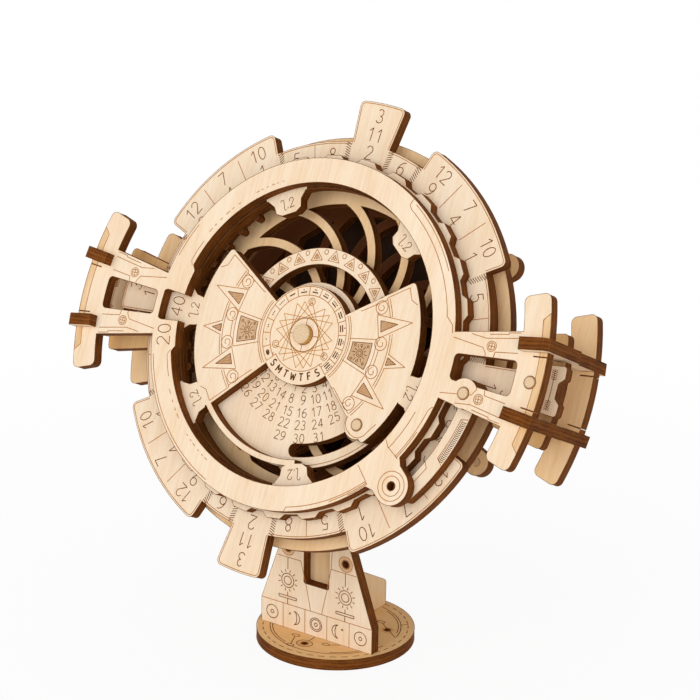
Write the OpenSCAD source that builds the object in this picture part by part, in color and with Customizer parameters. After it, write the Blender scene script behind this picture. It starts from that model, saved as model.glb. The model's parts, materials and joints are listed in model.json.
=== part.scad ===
// Perpetual desk calendar of laser-cut plywood.
// A tilted stack of discs stands on a round foot. Inside the stack's own frame, X points right as seen from
// the front, Y points up along the discs and Z points out of the front face. Angles are measured clockwise
// from the top as seen from the front, and depth counts backwards from the front face of the front ring.

/* [Plywood and pegs] */
// Thickness of every plywood sheet
ply = 3; // [2.7:0.1:3.2]
// Diameter of the small wooden pegs
peg_d = 3; // [2.4:0.1:3.2]
// Diameter of the fixed axle
axle_d = 5; // [4:0.25:6]
// Wall of the distance pieces on the axle
sleeve_wall = 3; // [2.5:0.1:3.5]
// How far a peg's end stands out of its plate
peg_proud = 0.3; // [0.1:0.1:0.8]
// How far the axle's end stands out of the weekday hub
axle_proud = 1.5; // [0.8:0.1:1.6]

/* [Clearances] */
// Gap between two layers that turn against each other
layer_gap = 0.2; // [0.15:0.05:0.3]
// Radial play of a turning plate on the axle
run_play = 0.05; // [0.02:0.01:0.08]
// Play of a peg or tenon that is pushed into its hole
push_play = 0.03; // [0.01:0.01:0.06]
// Play at each side of the wing peg in its slot
slot_play = 0.25; // [0.2:0.05:0.35]

/* [Stack position] */
// Backward tilt of the discs
tilt = 25; // [23:0.5:27]
// Height of the disc centre above the table
axis_height = 90.1; // [88:0.1:92]
// How far the disc centre stands in front of the middle of the foot
axis_forward = 18.6; // [17.6:0.1:19.6]

/* [Foot] */
// Diameter of the round foot
base_d = 42.5; // [42:0.1:45]
// Diameter of the small holes in the foot
base_hole_d = 1.6; // [1:0.1:2]
// Diameter of the circle on which the small holes lie
base_hole_circle = 28.2; // [27:0.1:30]

/* [Stand] */
// Width of the front plate at its foot
stand_foot_w = 36; // [34:0.2:37]
// Width of the front plate at its top
stand_top_w = 18.9; // [17.5:0.1:21]
// Height of the upright stretch of the plate's sides
stand_side_h = 6.9; // [5:0.1:8]
// Distance from the middle of the foot to the front face of the plate
stand_forward = 9.1; // [8.6:0.1:9.6]
// Free distance between the plate's top and the turning rear ring
stand_gap = 3.8; // [3:0.1:4.4]
// Width of the open window in the front plate
sill_w = 8.2; // [7:0.1:9]
// Height of the window's sill above the foot
sill_h = 14.45; // [12:0.05:16]
// Diameter of the two small holes in the front plate
stand_hole_d = 2; // [1.4:0.1:2.4]
// Distance between the two small holes
stand_hole_gap = 18.7; // [18:0.1:19.2]
// Distance of the two small holes below the plate's top edge
stand_hole_drop = 7.8; // [7:0.1:9]
// Width of the backing panel behind the window
panel_w = 13; // [12:0.2:14.5]
// Width of the tenons that stand in the foot
tenon_w = 6; // [4:0.5:7]

/* [Ribs] */
// Distance from the middle of the foot to the rear edge of the ribs
rib_back = 19.5; // [18:0.1:20]
// Height of the rear edge of the ribs
rib_back_h = 7.25; // [5:0.05:9]
// Slope of the ribs' upper edge
rib_slope = 29.1; // [27:0.1:32]
// Width of the neck that rises behind the discs
neck_w = 16; // [14:0.5:18]
// Radius of the ribs' rounded corners
rib_corner = 2; // [1:0.25:3]
// Distance from the rear ring to the hub plate
hub_plate_gap = 3; // [2:0.1:4]
// Width of the hub plate
hub_plate_w = 22; // [20:0.5:26]
// How far the hub plate reaches above the axle
hub_plate_up = 11; // [9:0.5:13]
// How far the hub plate reaches below the axle
hub_plate_down = 15; // [14.5:0.5:18]
// Length of the tenon in the hub plate
hub_tenon = 6; // [4:0.5:7]
// Wall of the hub plate below the tenon
hub_tenon_wall = 2.5; // [2:0.25:4]

/* [Rings of the cage] */
// Clockwise turn of the cage from the sector that its window shows
cage_turn = -0.66; // [-1:0.02:1]
// Outer diameter of the front and rear rings
ring_d = 90; // [89.4:0.2:91]
// Width of the front ring
ring_w = 6.3; // [6:0.1:6.6]
// Width of the rear ring
rear_ring_w = 9; // [8:0.5:10]
// Distance between the front faces of the front and rear rings
cage_depth = 25.5; // [24:0.25:27]
// Thickness of the dark backing sheet behind the rear ring
backing_t = 1; // [0.6:0.1:1.4]
// How far the backing sheet stays inside the rear ring's edge
backing_inset = 1.5; // [1:0.1:3]
// Gap between the backing sheet and the washer on the axle
backing_gap = 1; // [0.8:0.1:2]
// How far the front ring reaches in beside the year window
lip_deep = 1.3; // [1:0.1:1.5]
// Width of the wall outside the year window
window_wall = 0.7; // [0.6:0.1:1.2]
// Half of the angle of the year window
year_window_half = 5.4; // [5:0.1:6]
// Number of sectors on a full turn, 7 weekdays by 4
sectors = 28; // [28]

/* [Arms and bars] */
// Half of the angle that an arm covers
arm_half = 10.45; // [10:0.05:11]
// Half of the angle of the window in an arm
fork_half = 4; // [3.5:0.1:4.4]
// Distance from the ring's edge to the window in an arm
fork_foot = 0.9; // [0.6:0.1:1.4]
// Distance from the window in an arm to the bar
fork_head = 0.5; // [0.3:0.1:1.2]
// Length of an arm between the ring and the bar
arm_len = 18.5; // [18.3:0.1:19]
// Width of the bars
bar_w = 7; // [6.5:0.1:7.5]
// Half of the angle that a bar covers
bar_half = 18; // [17:0.25:19]
// Radius of the bars' rounded corners
bar_corner = 1.6; // [1:0.1:2]
// Angle between the middle of a bar and each clip
clip_angle = 7.5; // [7.3:0.1:8]
// Angle between the middle of a bar and each relief slit
slit_angle = 5.3; // [5:0.1:5.6]
// Width of a relief slit
slit_w = 0.25; // [0.2:0.05:0.5]
// Depth of the relief slits
slit_deep = 3.7; // [3:0.1:4]

/* [Clips, plates and yokes] */
// Depth of the notches that hold the clips
notch_deep = 4; // [3.4:0.1:4.2]
// How far the clips stand out of the bars
clip_proud = 1.1; // [0.6:0.1:1.4]
// Length of a clip's leg over the plates
clip_leg = 2.5; // [2:0.1:2.8]
// Size of the slanted corners of a clip
clip_chamfer = 1.1; // [0.5:0.1:1.4]
// Depth at which the clip's outer edge steps in
clip_step = 15; // [13:0.5:18]
// How far the clip's outer edge steps in there
clip_step_in = 1; // [0.5:0.1:1.5]
// Distance from the front ring to the small engraved plates
spacer_gap = 6.75; // [6.7:0.05:7.2]
// Half of the angle of the small engraved plates
spacer_half = 5; // [4.6:0.1:5.4]
// How far the ends of the small engraved plates stand out past the bars
spacer_proud = 0.6; // [0.2:0.1:0.8]
// Depth of the waist of the small engraved plates
spacer_waist = 1.5; // [1:0.1:2]
// How far the yokes stay inside the bars' outer edge
yoke_inset = 1.5; // [1:0.1:2]
// Half of the angle of the yokes
yoke_half = 12; // [11.5:0.25:13]
// Width of the yokes' prongs as an angle
prong_angle = 4; // [3:0.25:5]
// Gap between the prongs and the month wheel
prong_gap = 0.7; // [0.5:0.1:1]

/* [Lug, boss and lever] */
// Distance from the ring's edge to the front lug's hole
lug_out = 4; // [3.8:0.1:4.6]
// Clockwise angle of the front lug
lug_angle = 129.9; // [129:0.1:131]
// Radius of the front lug
lug_size = 4.7; // [4.2:0.1:5]
// Diameter of the front lug's hole
lug_hole_d = 2.2; // [1.8:0.1:2.6]
// Distance from the ring's edge to the rear pins
rear_lug_out = 4; // [3.6:0.1:4.6]
// Clockwise angle of the upper rear lug
high_lug_angle = 53.5; // [50:0.5:57]
// Clockwise angle of the lower rear lug
low_lug_angle = 114.6; // [112:0.2:116]
// Radius of the rear lugs
rear_lug_size = 3.3; // [3:0.1:3.6]
// Diameter of the rear pins
rear_pin_d = 2; // [1.6:0.1:2.4]
// How far the lever's pivot lies inside the middle of its band
pivot_inset = 0.4; // [0.2:0.1:0.8]
// Clockwise angle of the lever's pivot
pivot_angle = 96.6; // [96:0.1:97]
// Radius of the boss round the pivot
boss_size = 3.7; // [3.5:0.1:4]
// Width of the lever's band
lever_w = 4.2; // [3.6:0.1:4.4]
// Radius of the lever's round head
lever_head = 3.6; // [3.2:0.1:3.8]
// Distance of the lever's band from the year plate's teeth
lever_rise = 2.7; // [2.4:0.1:3]
// Free distance between the lifted lever's tooth and the year plate's teeth
lever_gap = 0.35; // [0.3:0.05:0.5]
// Distance from the bar's inner edge to the bar peg
bar_peg_in = 3.8; // [3.4:0.1:4.2]

/* [Year plate] */
// How far the year plate reaches out of the front ring between its teeth
year_out = 0.4; // [0.2:0.1:0.8]
// Height of the year plate's teeth
year_tooth_h = 1.2; // [1:0.1:1.4]
// How far the year ring reaches in past the front ring
year_lip = 0.7; // [0.3:0.1:0.9]
// Length of the label tabs
tab_len = 5.3; // [5:0.1:5.6]
// How far the wings reach into the label tabs
wing_lap = 0.9; // [0.7:0.1:1.3]
// Radius of the weekday hub
week_hub_r = 12.8; // [12.5:0.1:13.4]
// How much higher the right wing stands than the left wing's mirror image, as an angle
right_wing_lift = 1.9; // [0:0.1:2.4]
// Width of the thin rim under the date window
thin_rim_w = 1.5; // [1.2:0.1:1.8]
// How far the thin rim stays inside the wings' outer edge
rim_inset = 0.4; // [0.2:0.1:0.6]
// Distance of the wing peg from the axis
wing_peg_r = 28.9; // [28.5:0.1:29]
// Clockwise angle of the wing peg
wing_peg_angle = 130.3; // [129.5:0.1:131]
// Radius of the lobe round the wing peg
wing_lobe = 3.6; // [3.2:0.1:4]

/* [Dial] */
// Turn of the dial away from its middle position
dial_turn = 3.04; // [0:0.02:6]
// Largest turn of the dial each way, in sectors
dial_sectors = 3; // [3]
// How far the date plate stays inside the wings' outer edge
date_inset = 0.1; // [0:0.1:0.4]
// How far the date plate's hub reaches out of the weekday hub
date_hub_out = 1.4; // [0.8:0.1:2]
// Inner radius of the date plate's arc band
band_in_r = 18.9; // [18.4:0.1:19.4]
// Width of the date plate's arc band
band_w = 4.2; // [3.8:0.1:4.6]
// How far the month ring reaches out of the front ring
month_out = 6; // [5.6:0.1:6.4]
// Length of the wide tabs
wide_tab_len = 5.7; // [5:0.1:6.4]
// Length of the long tabs
long_tab_len = 11; // [10:0.1:11.8]
// How far the month ring's inner edge stays behind the front ring
month_hide = 0.3; // [0:0.1:0.7]
// Height of the small inner teeth
small_tooth_h = 1.9; // [1.5:0.1:2]
// Number of small inner teeth
small_teeth = 12; // [8:1:14]
// Radius of the tabs' rounded corners
tab_corner = 1.4; // [0.8:0.1:2]
// How far the month wheel reaches out of the month ring
wheel_out = 2.5; // [2:0.1:3]
// Width of the month wheel's rim
wheel_rim_w = 17.5; // [16.5:0.1:18.5]
// Radius of the hubs of the two rosettes
rosette_hub_r = 9; // [8:0.1:10]
// Number of curved spokes in each rosette
spokes = 14; // [10:1:16]
// Width of a curved spoke
spoke_w = 2.3; // [1.8:0.1:2.8]
// Clockwise angle of the first spoke
spoke_angle = 328.2; // [320:0.2:336]
// How far the circle of a spoke reaches into the rosette's hub
spoke_in = 5.4; // [4.8:0.1:6]
// How far the circle of a spoke reaches into the rim
spoke_out = 5; // [4.4:0.1:5.6]
// How far the spacer ring's edge stays inside the month ring's outer edge
spacer_ring_out = 1; // [0.5:0.1:2]
// How far the spacer ring's edge stays outside the month ring's inner edge
spacer_ring_in = 2; // [1:0.1:3]
// Distance from the month ring's inner edge to the ring pegs
ring_peg_in = 4; // [3.8:0.1:5]
// Distance of the hub pegs from the axis
hub_peg_r = 6; // [5.8:0.1:6.4]
// Diameter of the hub pegs
hub_peg_d = 2; // [1.6:0.1:2.2]

/* [Hidden] */
$fn = 96;

sector = 360 / sectors;
right = 90;
left = 270;
birch = "burlywood";
pale = "wheat";
burnt = "saddlebrown";

// Depths of the layers, front face of each
year_d = ply + layer_gap;
dial_d = year_d + ply + layer_gap;
spacer_d = dial_d + ply;
wheel_d = spacer_d + ply;
wheel_back = wheel_d + ply;
cage_back = cage_depth + ply;
hub_d = cage_back + hub_plate_gap;
hub_back = hub_d + ply;
spacer_plate_d = ply + spacer_gap;
yoke_d = spacer_plate_d + ply;

// Radii of the cage
ring_r = ring_d / 2;
ring_in_r = ring_r - ring_w;
rear_in_r = ring_r - rear_ring_w;
lip_r = ring_in_r - lip_deep;
year_window_r = ring_r - window_wall;
bar_in_r = ring_r + arm_len;
bar_out_r = bar_in_r + bar_w;
fork_in_r = ring_r + fork_foot;
fork_out_r = bar_in_r - fork_head;
bar_peg_r = bar_in_r + bar_peg_in;
spacer_out_r = bar_out_r + spacer_proud;
spacer_waist_r = spacer_out_r - spacer_waist;
yoke_out_r = bar_out_r - yoke_inset;
notch_r = bar_out_r - notch_deep;
clip_out_r = bar_out_r + clip_proud;
clip_in_r = notch_r - clip_leg;
lug_r = ring_r + lug_out;
rear_lug_r = ring_r + rear_lug_out;

// Radii of the year plate and the lever
year_root_r = ring_r + year_out;
crest_r = year_root_r + year_tooth_h;
year_in_r = ring_in_r - year_lip;
tab_in_r = year_in_r - tab_len;
wing_r = tab_in_r + wing_lap;
lever_in_r = crest_r + lever_rise;
lever_out_r = lever_in_r + lever_w;
pivot_r = (lever_in_r + lever_out_r) / 2 - pivot_inset;

// Radii of the dial
date_r = wing_r - date_inset;
date_hub_r = week_hub_r + date_hub_out;
band_out_r = band_in_r + band_w;
month_r = ring_r + month_out;
month_in_r = ring_in_r + month_hide;
wide_tab_r = month_r + wide_tab_len;
long_tab_r = month_r + long_tab_len;
wheel_r = month_r + wheel_out;
wheel_in_r = wheel_r - wheel_rim_w;
ring_peg_r = month_in_r + ring_peg_in;
prong_in_r = wheel_r + prong_gap;

// Radii and widths of holes, and the small step that keeps a straight side off a round end
axle_r = axle_d / 2;
run_r = axle_r + run_play;
push_r = axle_r + push_play;
peg_r = peg_d / 2;
peg_hole_r = peg_r + push_play;
notch_w = ply + 2 * push_play;
slot_half = peg_r + slot_play;
sleeve_r = axle_r + sleeve_wall;
seam = 0.02;
dial_swing = dial_sectors * sector;

// Angles that follow from the sectors
lip_half = 1.2 * sector;
lip_slant = 2;
date_window_half = 3.5 * sector;
fan_half = 7.5 * sector;
tab_half = sector / 2;
wide_from = 1.5 * sector;
wide_to = 4.5 * sector;
label_sectors = [3, 8, 13, 18, 21, 26];
small_pitch = 2 * sector / 3;
small_first = 27.5 * small_pitch;

// Places on the stand, as [forward-backward, height]
axis_y = -axis_forward;
front_y = -stand_forward;
panel_y = front_y + ply;
rib_y = panel_y + ply;
stand_top = axis_height
    - (cage_back + stand_gap - (front_y - axis_y) * cos(tilt)) / sin(tilt);
neck_back = hub_back + neck_w;
neck_top = hub_plate_up - 2;
hub_tenon_low = -hub_plate_down + hub_tenon_wall;
base_tenon_y = 4;

// A point of the stack's middle plane, from its depth and its height along the discs
function stack(depth, up) =
    [axis_y + depth * cos(tilt) + up * sin(tilt), axis_height - depth * sin(tilt) + up * cos(tilt)];

// A point on a disc, from its radius and its clockwise angle
function cw(r, a) = [r * sin(a), r * cos(a)];

// The point where the line through p along u meets the line through q along w
function meet(p, u, q, w) =
    p + u * (((q[0] - p[0]) * w[1] - (q[1] - p[1]) * w[0]) / (u[0] * w[1] - u[1] * w[0]));

function unit(v) = v / norm(v);

// Points of an arc of radius r that rounds the corner at p between a and b
function rounded(a, p, b, r, steps = 6) =
    let (
        u = unit(a - p),
        w = unit(b - p),
        half = acos(u * w) / 2,
        centre = p + unit(u + w) * (r / sin(half)),
        from = p + u * (r / tan(half)) - centre,
        to = p + w * (r / tan(half)) - centre,
        a0 = atan2(from[1], from[0]),
        turn = atan2(to[1], to[0]) - a0,
        sweep = turn > 180 ? turn - 360 : turn < -180 ? turn + 360 : turn
    )
    [for (i = [0:steps]) centre + r * [cos(a0 + sweep * i / steps), sin(a0 + sweep * i / steps)]];

// A closed outline with every corner rounded by r
function soft_outline(pts, r) =
    [for (i = [0:len(pts) - 1])
        each rounded(pts[(i + len(pts) - 1) % len(pts)], pts[i], pts[(i + 1) % len(pts)], r)];

// Moves what is drawn in the stack's own frame to its place on the stand
module on_stack() {
    translate([0, axis_y, axis_height])
        rotate([90 - tilt, 0, 0])
            children();
}

// A sheet between two depths of the stack, cut to a flat outline
module layer(depth, thick = ply) {
    on_stack()
        translate([0, 0, -depth - thick])
            linear_extrude(thick)
                children();
}

// Turns what is drawn at the top to a clockwise angle
module at(a) {
    rotate(-a)
        children();
}

// The region between two clockwise angles, out to past radius r
module wedge(r, a0, a1) {
    steps = ceil((a1 - a0) / 45);
    polygon(concat([[0, 0]], [for (i = [0:steps]) cw(1.5 * r, a0 + (a1 - a0) * i / steps)]));
}

module annulus(r0, r1) {
    difference() {
        circle(r1);
        circle(r0);
    }
}

module ring_part(r0, r1, a0, a1) {
    intersection() {
        annulus(r0, r1);
        wedge(r1, a0, a1);
    }
}

// Points that round the corner of a ring part at radius r and clockwise angle a. Side is 1 at the part's
// lower angle and -1 at its upper angle, turn is 1 at its outer arc and -1 at its inner arc. The last point
// lies past the arc, so that the arc itself cuts the outline.
function soft_corner(r, a, c, side, turn, steps = 6) =
    c == 0 ? [cw(r + turn * r / 4, a)] :
    let (
        dip = side * asin(c / (r - turn * c)),
        centre = cw(r - turn * c, a + dip),
        spread = 90 + turn * abs(dip),
        pts = [for (i = [0:steps])
            centre + turn * c * cw(1, a + dip - side * turn * spread * (1 - i / steps))]
    )
    concat([for (i = [0:steps - 1]) pts[i]], [pts[steps] + 3 * (pts[steps] - pts[steps - 1])]);

function reversed(v) = [for (i = [len(v) - 1:-1:0]) v[i]];

// A part of a ring with its inner corners rounded by c0 and its outer corners by c1
module soft_part(r0, r1, a0, a1, c0, c1) {
    steps = ceil((a1 - a0) / 40);
    inset = c1 > 0 ? 2 * asin(c1 / (r1 - c1)) : 0;
    intersection() {
        annulus(r0, r1);
        polygon(concat(
            reversed(soft_corner(r0, a0, c0, 1, -1)),
            soft_corner(r1, a0, c1, 1, 1),
            [for (i = [0:steps]) cw(1.5 * r1, a0 + inset + (a1 - a0 - 2 * inset) * i / steps)],
            reversed(soft_corner(r1, a1, c1, -1, 1)),
            soft_corner(r0, a1, c0, -1, -1)));
    }
}

// ---------------------------------------------------------------- stand

module base_disc() {
    color(birch)
        linear_extrude(ply)
            difference() {
                circle(base_d / 2);
                for (a = [-90, 25, 155])
                    rotate(a)
                        translate([base_hole_circle / 2, 0])
                            circle(base_hole_d / 2);
                for (side = [-1, 1])
                    translate([side * stand_foot_w / 3 - tenon_w / 2 - push_play, front_y - push_play])
                        square([tenon_w + 2 * push_play, notch_w]);
                translate([-ply - push_play, base_tenon_y - push_play])
                    square([2 * ply + 2 * push_play, tenon_w + 2 * push_play]);
            }
}

module stand_front() {
    foot = stand_foot_w / 2;
    top = stand_top_w / 2;
    sill = sill_w / 2;
    color(pale)
        translate([0, panel_y, 0])
            rotate([90, 0, 0])
                linear_extrude(ply) {
                    difference() {
                        polygon([[-foot, ply], [foot, ply], [foot, ply + stand_side_h], [top, stand_top],
                            [-top, stand_top], [-foot, ply + stand_side_h]]);
                        polygon(concat(
                            [[sill, stand_top + 1], [-sill, stand_top + 1]],
                            rounded([-sill, stand_top], [-sill, ply + sill_h], [sill, ply + sill_h], 0.6),
                            rounded([-sill, ply + sill_h], [sill, ply + sill_h], [sill, stand_top], 0.6)));
                        for (side = [-1, 1])
                            translate([side * stand_hole_gap / 2, stand_top - stand_hole_drop])
                                circle(stand_hole_d / 2);
                    }
                    for (side = [-1, 1])
                        translate([side * stand_foot_w / 3 - tenon_w / 2, 0])
                            square([tenon_w, 2 * ply]);
                }
}

module stand_panel() {
    color(pale)
        translate([0, rib_y, 0])
            rotate([90, 0, 0])
                linear_extrude(ply)
                    translate([-panel_w / 2, ply])
                        square([panel_w, stand_top - ply - 1]);
}

// One rib in the plane across the stand, with its tenons in the foot and in the hub plate
module rib(side) {
    neck = [sin(tilt), cos(tilt)];
    heel = [rib_back, ply + rib_back_h];
    back_low = meet(heel, [-cos(rib_slope), sin(rib_slope)], stack(neck_back, 0), neck);
    front_low = meet([rib_y, 0], [0, 1], stack(hub_back, 0), neck);
    top_back = stack(neck_back, neck_top);
    top_front = stack(hub_back, neck_top);
    inner = side > 0 ? 0 : -ply;
    color(birch)
        translate([inner, 0, 0])
            rotate([90, 0, 90])
                linear_extrude(ply) {
                    polygon(concat(
                        [[rib_y, ply], [rib_back, ply]],
                        rounded([rib_back, ply], heel, back_low, rib_corner),
                        [back_low],
                        rounded(back_low, top_back, top_front, rib_corner),
                        [top_front, front_low]));
                    translate([base_tenon_y, 0])
                        square([tenon_w, 2 * ply]);
                    polygon([
                        stack(hub_d, hub_tenon_low),
                        stack(hub_back + 1, hub_tenon_low),
                        stack(hub_back + 1, hub_tenon_low + hub_tenon),
                        stack(hub_d, hub_tenon_low + hub_tenon)]);
                }
}

module rib_left() {
    rib(-1);
}

module rib_right() {
    rib(1);
}

module hub_plate() {
    half = hub_plate_w / 2;
    color(birch)
        layer(hub_d)
            difference() {
                polygon(soft_outline([[-half, -hub_plate_down], [half, -hub_plate_down],
                    [half, hub_plate_up], [-half, hub_plate_up]], rib_corner));
                circle(push_r);
                translate([-ply - push_play, hub_tenon_low - push_play])
                    square([2 * ply + 2 * push_play, hub_tenon + 2 * push_play]);
            }
}

module axle() {
    color(birch)
        layer(year_d - axle_proud, hub_back - year_d + axle_proud)
            circle(axle_r);
}

module axle_washer() {
    color(birch)
        layer(cage_back + layer_gap, hub_plate_gap - layer_gap)
            annulus(push_r, sleeve_r);
}

module axle_sleeve() {
    color(birch)
        layer(wheel_back + layer_gap, cage_depth - wheel_back - 2 * layer_gap)
            annulus(push_r, sleeve_r);
}

// ---------------------------------------------------------------- year plate

// The toothed outline of the year plate
module year_outline() {
    crest_half = 0.19 * sector;
    root_half = 0.32 * sector;
    polygon([for (i = [0:sectors - 1], corner = [[year_root_r, -root_half], [crest_r, -crest_half],
        [crest_r, crest_half], [year_root_r, root_half]]) cw(corner[0], (i + 0.5) * sector + corner[1])]);
}

// One label tab that reaches inwards from the year ring, drawn at the top
module label_tab() {
    half_angles = [9.4, 6.5, 6.3, 3.7];
    radii = [year_in_r + year_lip, tab_in_r + 0.6 * tab_len, tab_in_r + 0.2 * tab_len, tab_in_r];
    polygon(concat(
        [for (i = [0:3]) cw(radii[i], -half_angles[i])],
        [for (i = [3:-1:0]) cw(radii[i], half_angles[i])]));
}

// What is open inside the year ring: everything but the tabs, the wings, the hub and the thin rim
module year_openings() {
    wing_near = date_window_half;
    wing_far = date_window_half + 6 * sector;
    rim_r = wing_r - rim_inset;
    rim_from = 13 * sector;
    rim_to = 180 + wing_near + 1;
    difference() {
        circle(year_in_r);
        for (s = label_sectors)
            at(s * sector)
                label_tab();
        circle(week_hub_r);
        soft_part(axle_d, wing_r, 180 - wing_far - right_wing_lift, 180 - wing_near - right_wing_lift, 0, 1);
        soft_part(axle_d, wing_r, 180 + wing_near, 180 + wing_far, 0, 1);
        translate(cw(wing_peg_r, wing_peg_angle))
            circle(wing_lobe);
        ring_part(rim_r - thin_rim_w, rim_r, rim_from, rim_to);
    }
}

module year_plate() {
    color(pale)
        layer(year_d)
            difference() {
                year_outline();
                year_openings();
                circle(push_r);
                translate(cw(wing_peg_r, wing_peg_angle))
                    circle(peg_hole_r);
            }
}

module wing_peg() {
    color(birch)
        layer(year_d - peg_proud, dial_d + ply - year_d)
            translate(cw(wing_peg_r, wing_peg_angle))
                circle(peg_r);
}

// ---------------------------------------------------------------- cage

// A sheet of the cage, drawn in the cage's own angles
module cage_layer(depth, thick = ply) {
    layer(depth, thick)
        at(cage_turn)
            children();
}

// Arms and bars on both sides, with the arm windows, the clip notches and the relief slits
module cage_sides() {
    for (side = [right, left])
        difference() {
            union() {
                ring_part(ring_r - 1, bar_in_r + 1, side - arm_half, side + arm_half);
                soft_part(bar_in_r, bar_out_r, side - bar_half, side + bar_half, bar_corner, bar_corner);
            }
            soft_part(fork_in_r, fork_out_r, side - fork_half, side + fork_half, 1.2, 1.2);
            bar_cuts(side);
            for (a = [side - slit_angle, side + slit_angle])
                at(a)
                    translate([-slit_w / 2, bar_out_r - slit_deep])
                        square([slit_w, slit_deep + 1]);
        }
}

// Notches that hold the two clips of one side
module bar_cuts(side) {
    for (a = [side - clip_angle, side + clip_angle])
        at(a)
            translate([-notch_w / 2, notch_r - push_play])
                square([notch_w, notch_deep + 1]);
}

// The stretch beside the year window that reaches further in, with slanted ends
module lip() {
    rise = ring_in_r - lip_r;
    intersection() {
        annulus(lip_r, ring_in_r + rise);
        polygon(concat(
            [for (i = [0, 2]) cw(lip_r - rise + i * rise, left - lip_half - lip_slant * (i - 1))],
            [cw(ring_r, left - lip_half - lip_slant), cw(ring_r, left + lip_half + lip_slant)],
            [for (i = [2, 0]) cw(lip_r - rise + i * rise, left + lip_half + lip_slant * (i - 1))]));
    }
}

module cage_front() {
    color(pale)
        cage_layer(0)
            difference() {
                union() {
                    difference() {
                        union() {
                            annulus(ring_in_r, ring_r);
                            lip();
                        }
                        soft_part(lip_r - 2, year_window_r, left - year_window_half,
                            left + year_window_half, 0, 1.5);
                    }
                    cage_sides();
                    at(lug_angle)
                        lug_neck(lug_r, lug_size);
                    translate(cw(pivot_r, pivot_angle))
                        circle(boss_size);
                }
                translate(cw(lug_r, lug_angle))
                    circle(lug_hole_d / 2);
                translate(cw(pivot_r, pivot_angle))
                    circle(peg_hole_r);
                translate(cw(bar_peg_r, right))
                    circle(peg_hole_r);
            }
}

// A round lug on the ring's edge, drawn at the top
module lug_neck(centre_r, size) {
    steps = 24;
    polygon(concat(
        [[size + 1.5, ring_r - 1.2], [size, ring_r + 1.5]],
        [for (i = [0:steps]) [0, centre_r] + size * [cos(180 * i / steps), sin(180 * i / steps)]],
        [[-size, ring_r + 1.5], [-size - 1.5, ring_r - 1.2]]));
}

// Curved spokes from hub to rim, mirrored when hand is -1
module rosette(rim_in, hand) {
    low = rosette_hub_r - spoke_in;
    high = rim_in + spoke_out;
    spoke_centre = (high + low) / 2;
    spoke_curve = (high - low) / 2;
    circle(rosette_hub_r);
    for (i = [0:spokes - 1])
        at(hand * spoke_angle + i * 360 / spokes)
            intersection() {
                translate([0, spoke_centre])
                    annulus(spoke_curve - spoke_w / 2, spoke_curve + spoke_w / 2);
                translate([hand > 0 ? 0 : -spoke_centre, 0])
                    square([spoke_centre, 2 * spoke_centre]);
                circle(rim_in + 2);
            }
}

module cage_rear() {
    color(birch)
        cage_layer(cage_depth)
            difference() {
                union() {
                    annulus(rear_in_r, ring_r);
                    rosette(rear_in_r, -1);
                    cage_sides();
                    for (a = [high_lug_angle, low_lug_angle])
                        at(a)
                            lug_neck(rear_lug_r, rear_lug_size);
                }
                circle(run_r);
                for (a = [high_lug_angle, low_lug_angle])
                    translate(cw(rear_lug_r, a))
                        circle(rear_pin_d / 2 + push_play);
            }
}

// The thin dark sheet on the back of the rear ring, seen between the curved spokes
module cage_backing() {
    color(burnt)
        cage_layer(cage_back, backing_t)
            annulus(sleeve_r + backing_gap, ring_r - backing_inset);
}

// One C clip, a sheet that stands across the plates at a clockwise angle
module clip(a) {
    rear_r = clip_out_r - clip_step_in;
    color(burnt)
        on_stack()
            rotate([0, 0, -a - cage_turn])
                translate([-ply / 2, 0, 0])
                    rotate([90, 0, 90])
                        linear_extrude(ply)
                            polygon([
                                [clip_in_r, ply],
                                [clip_out_r - clip_chamfer, ply],
                                [clip_out_r, ply - clip_chamfer],
                                [clip_out_r, -clip_step],
                                [rear_r, -clip_step - clip_step_in],
                                [rear_r, -cage_back - ply],
                                [clip_in_r, -cage_back - ply],
                                [clip_in_r, -cage_back],
                                [notch_r, -cage_back],
                                [notch_r, 0],
                                [clip_in_r, 0]]);
}

module clip_right_upper() {
    clip(right - clip_angle);
}

module clip_right_lower() {
    clip(right + clip_angle);
}

module clip_left_upper() {
    clip(left + clip_angle);
}

module clip_left_lower() {
    clip(left - clip_angle);
}

// A small plate with two lobes and a waist
module spacer_plate(side) {
    waist = 0.3 * spacer_half;
    mouth = 0.56 * spacer_half;
    color(pale)
        cage_layer(spacer_plate_d)
            difference() {
                soft_part(bar_in_r, spacer_out_r, side - spacer_half, side + spacer_half, 0.8, 0.8);
                polygon([cw(spacer_waist_r, side - waist), cw(spacer_out_r + 0.3, side - mouth),
                    cw(spacer_out_r + 0.3, side + mouth), cw(spacer_waist_r, side + waist)]);
            }
}

module spacer_plate_right() {
    spacer_plate(right);
}

module spacer_plate_left() {
    spacer_plate(left);
}

// A middle bar between the clips with two prongs that point to the month wheel
module yoke(side) {
    color(birch)
        cage_layer(yoke_d)
            difference() {
                soft_part(prong_in_r, yoke_out_r, side - yoke_half, side + yoke_half, 1, 1.2);
                soft_part(prong_in_r - 2, bar_in_r, side - yoke_half + prong_angle,
                    side + yoke_half - prong_angle, 0, 0.6);
                bar_cuts(side);
            }
}

module yoke_right() {
    yoke(right);
}

module yoke_left() {
    yoke(left);
}

module lever_peg() {
    color(birch)
        cage_layer(-peg_proud, year_d + ply + peg_proud)
            translate(cw(pivot_r, pivot_angle))
                circle(peg_r);
}

module bar_peg() {
    color(birch)
        cage_layer(-peg_proud, ply + 2 * peg_proud)
            translate(cw(bar_peg_r, right))
                circle(peg_r);
}

module rear_pins() {
    color(birch)
        cage_layer(cage_depth - peg_proud, ply + 2 * peg_proud)
            for (a = [high_lug_angle, low_lug_angle])
                translate(cw(rear_lug_r, a))
                    circle(rear_pin_d / 2);
}

// ---------------------------------------------------------------- month dial

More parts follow.
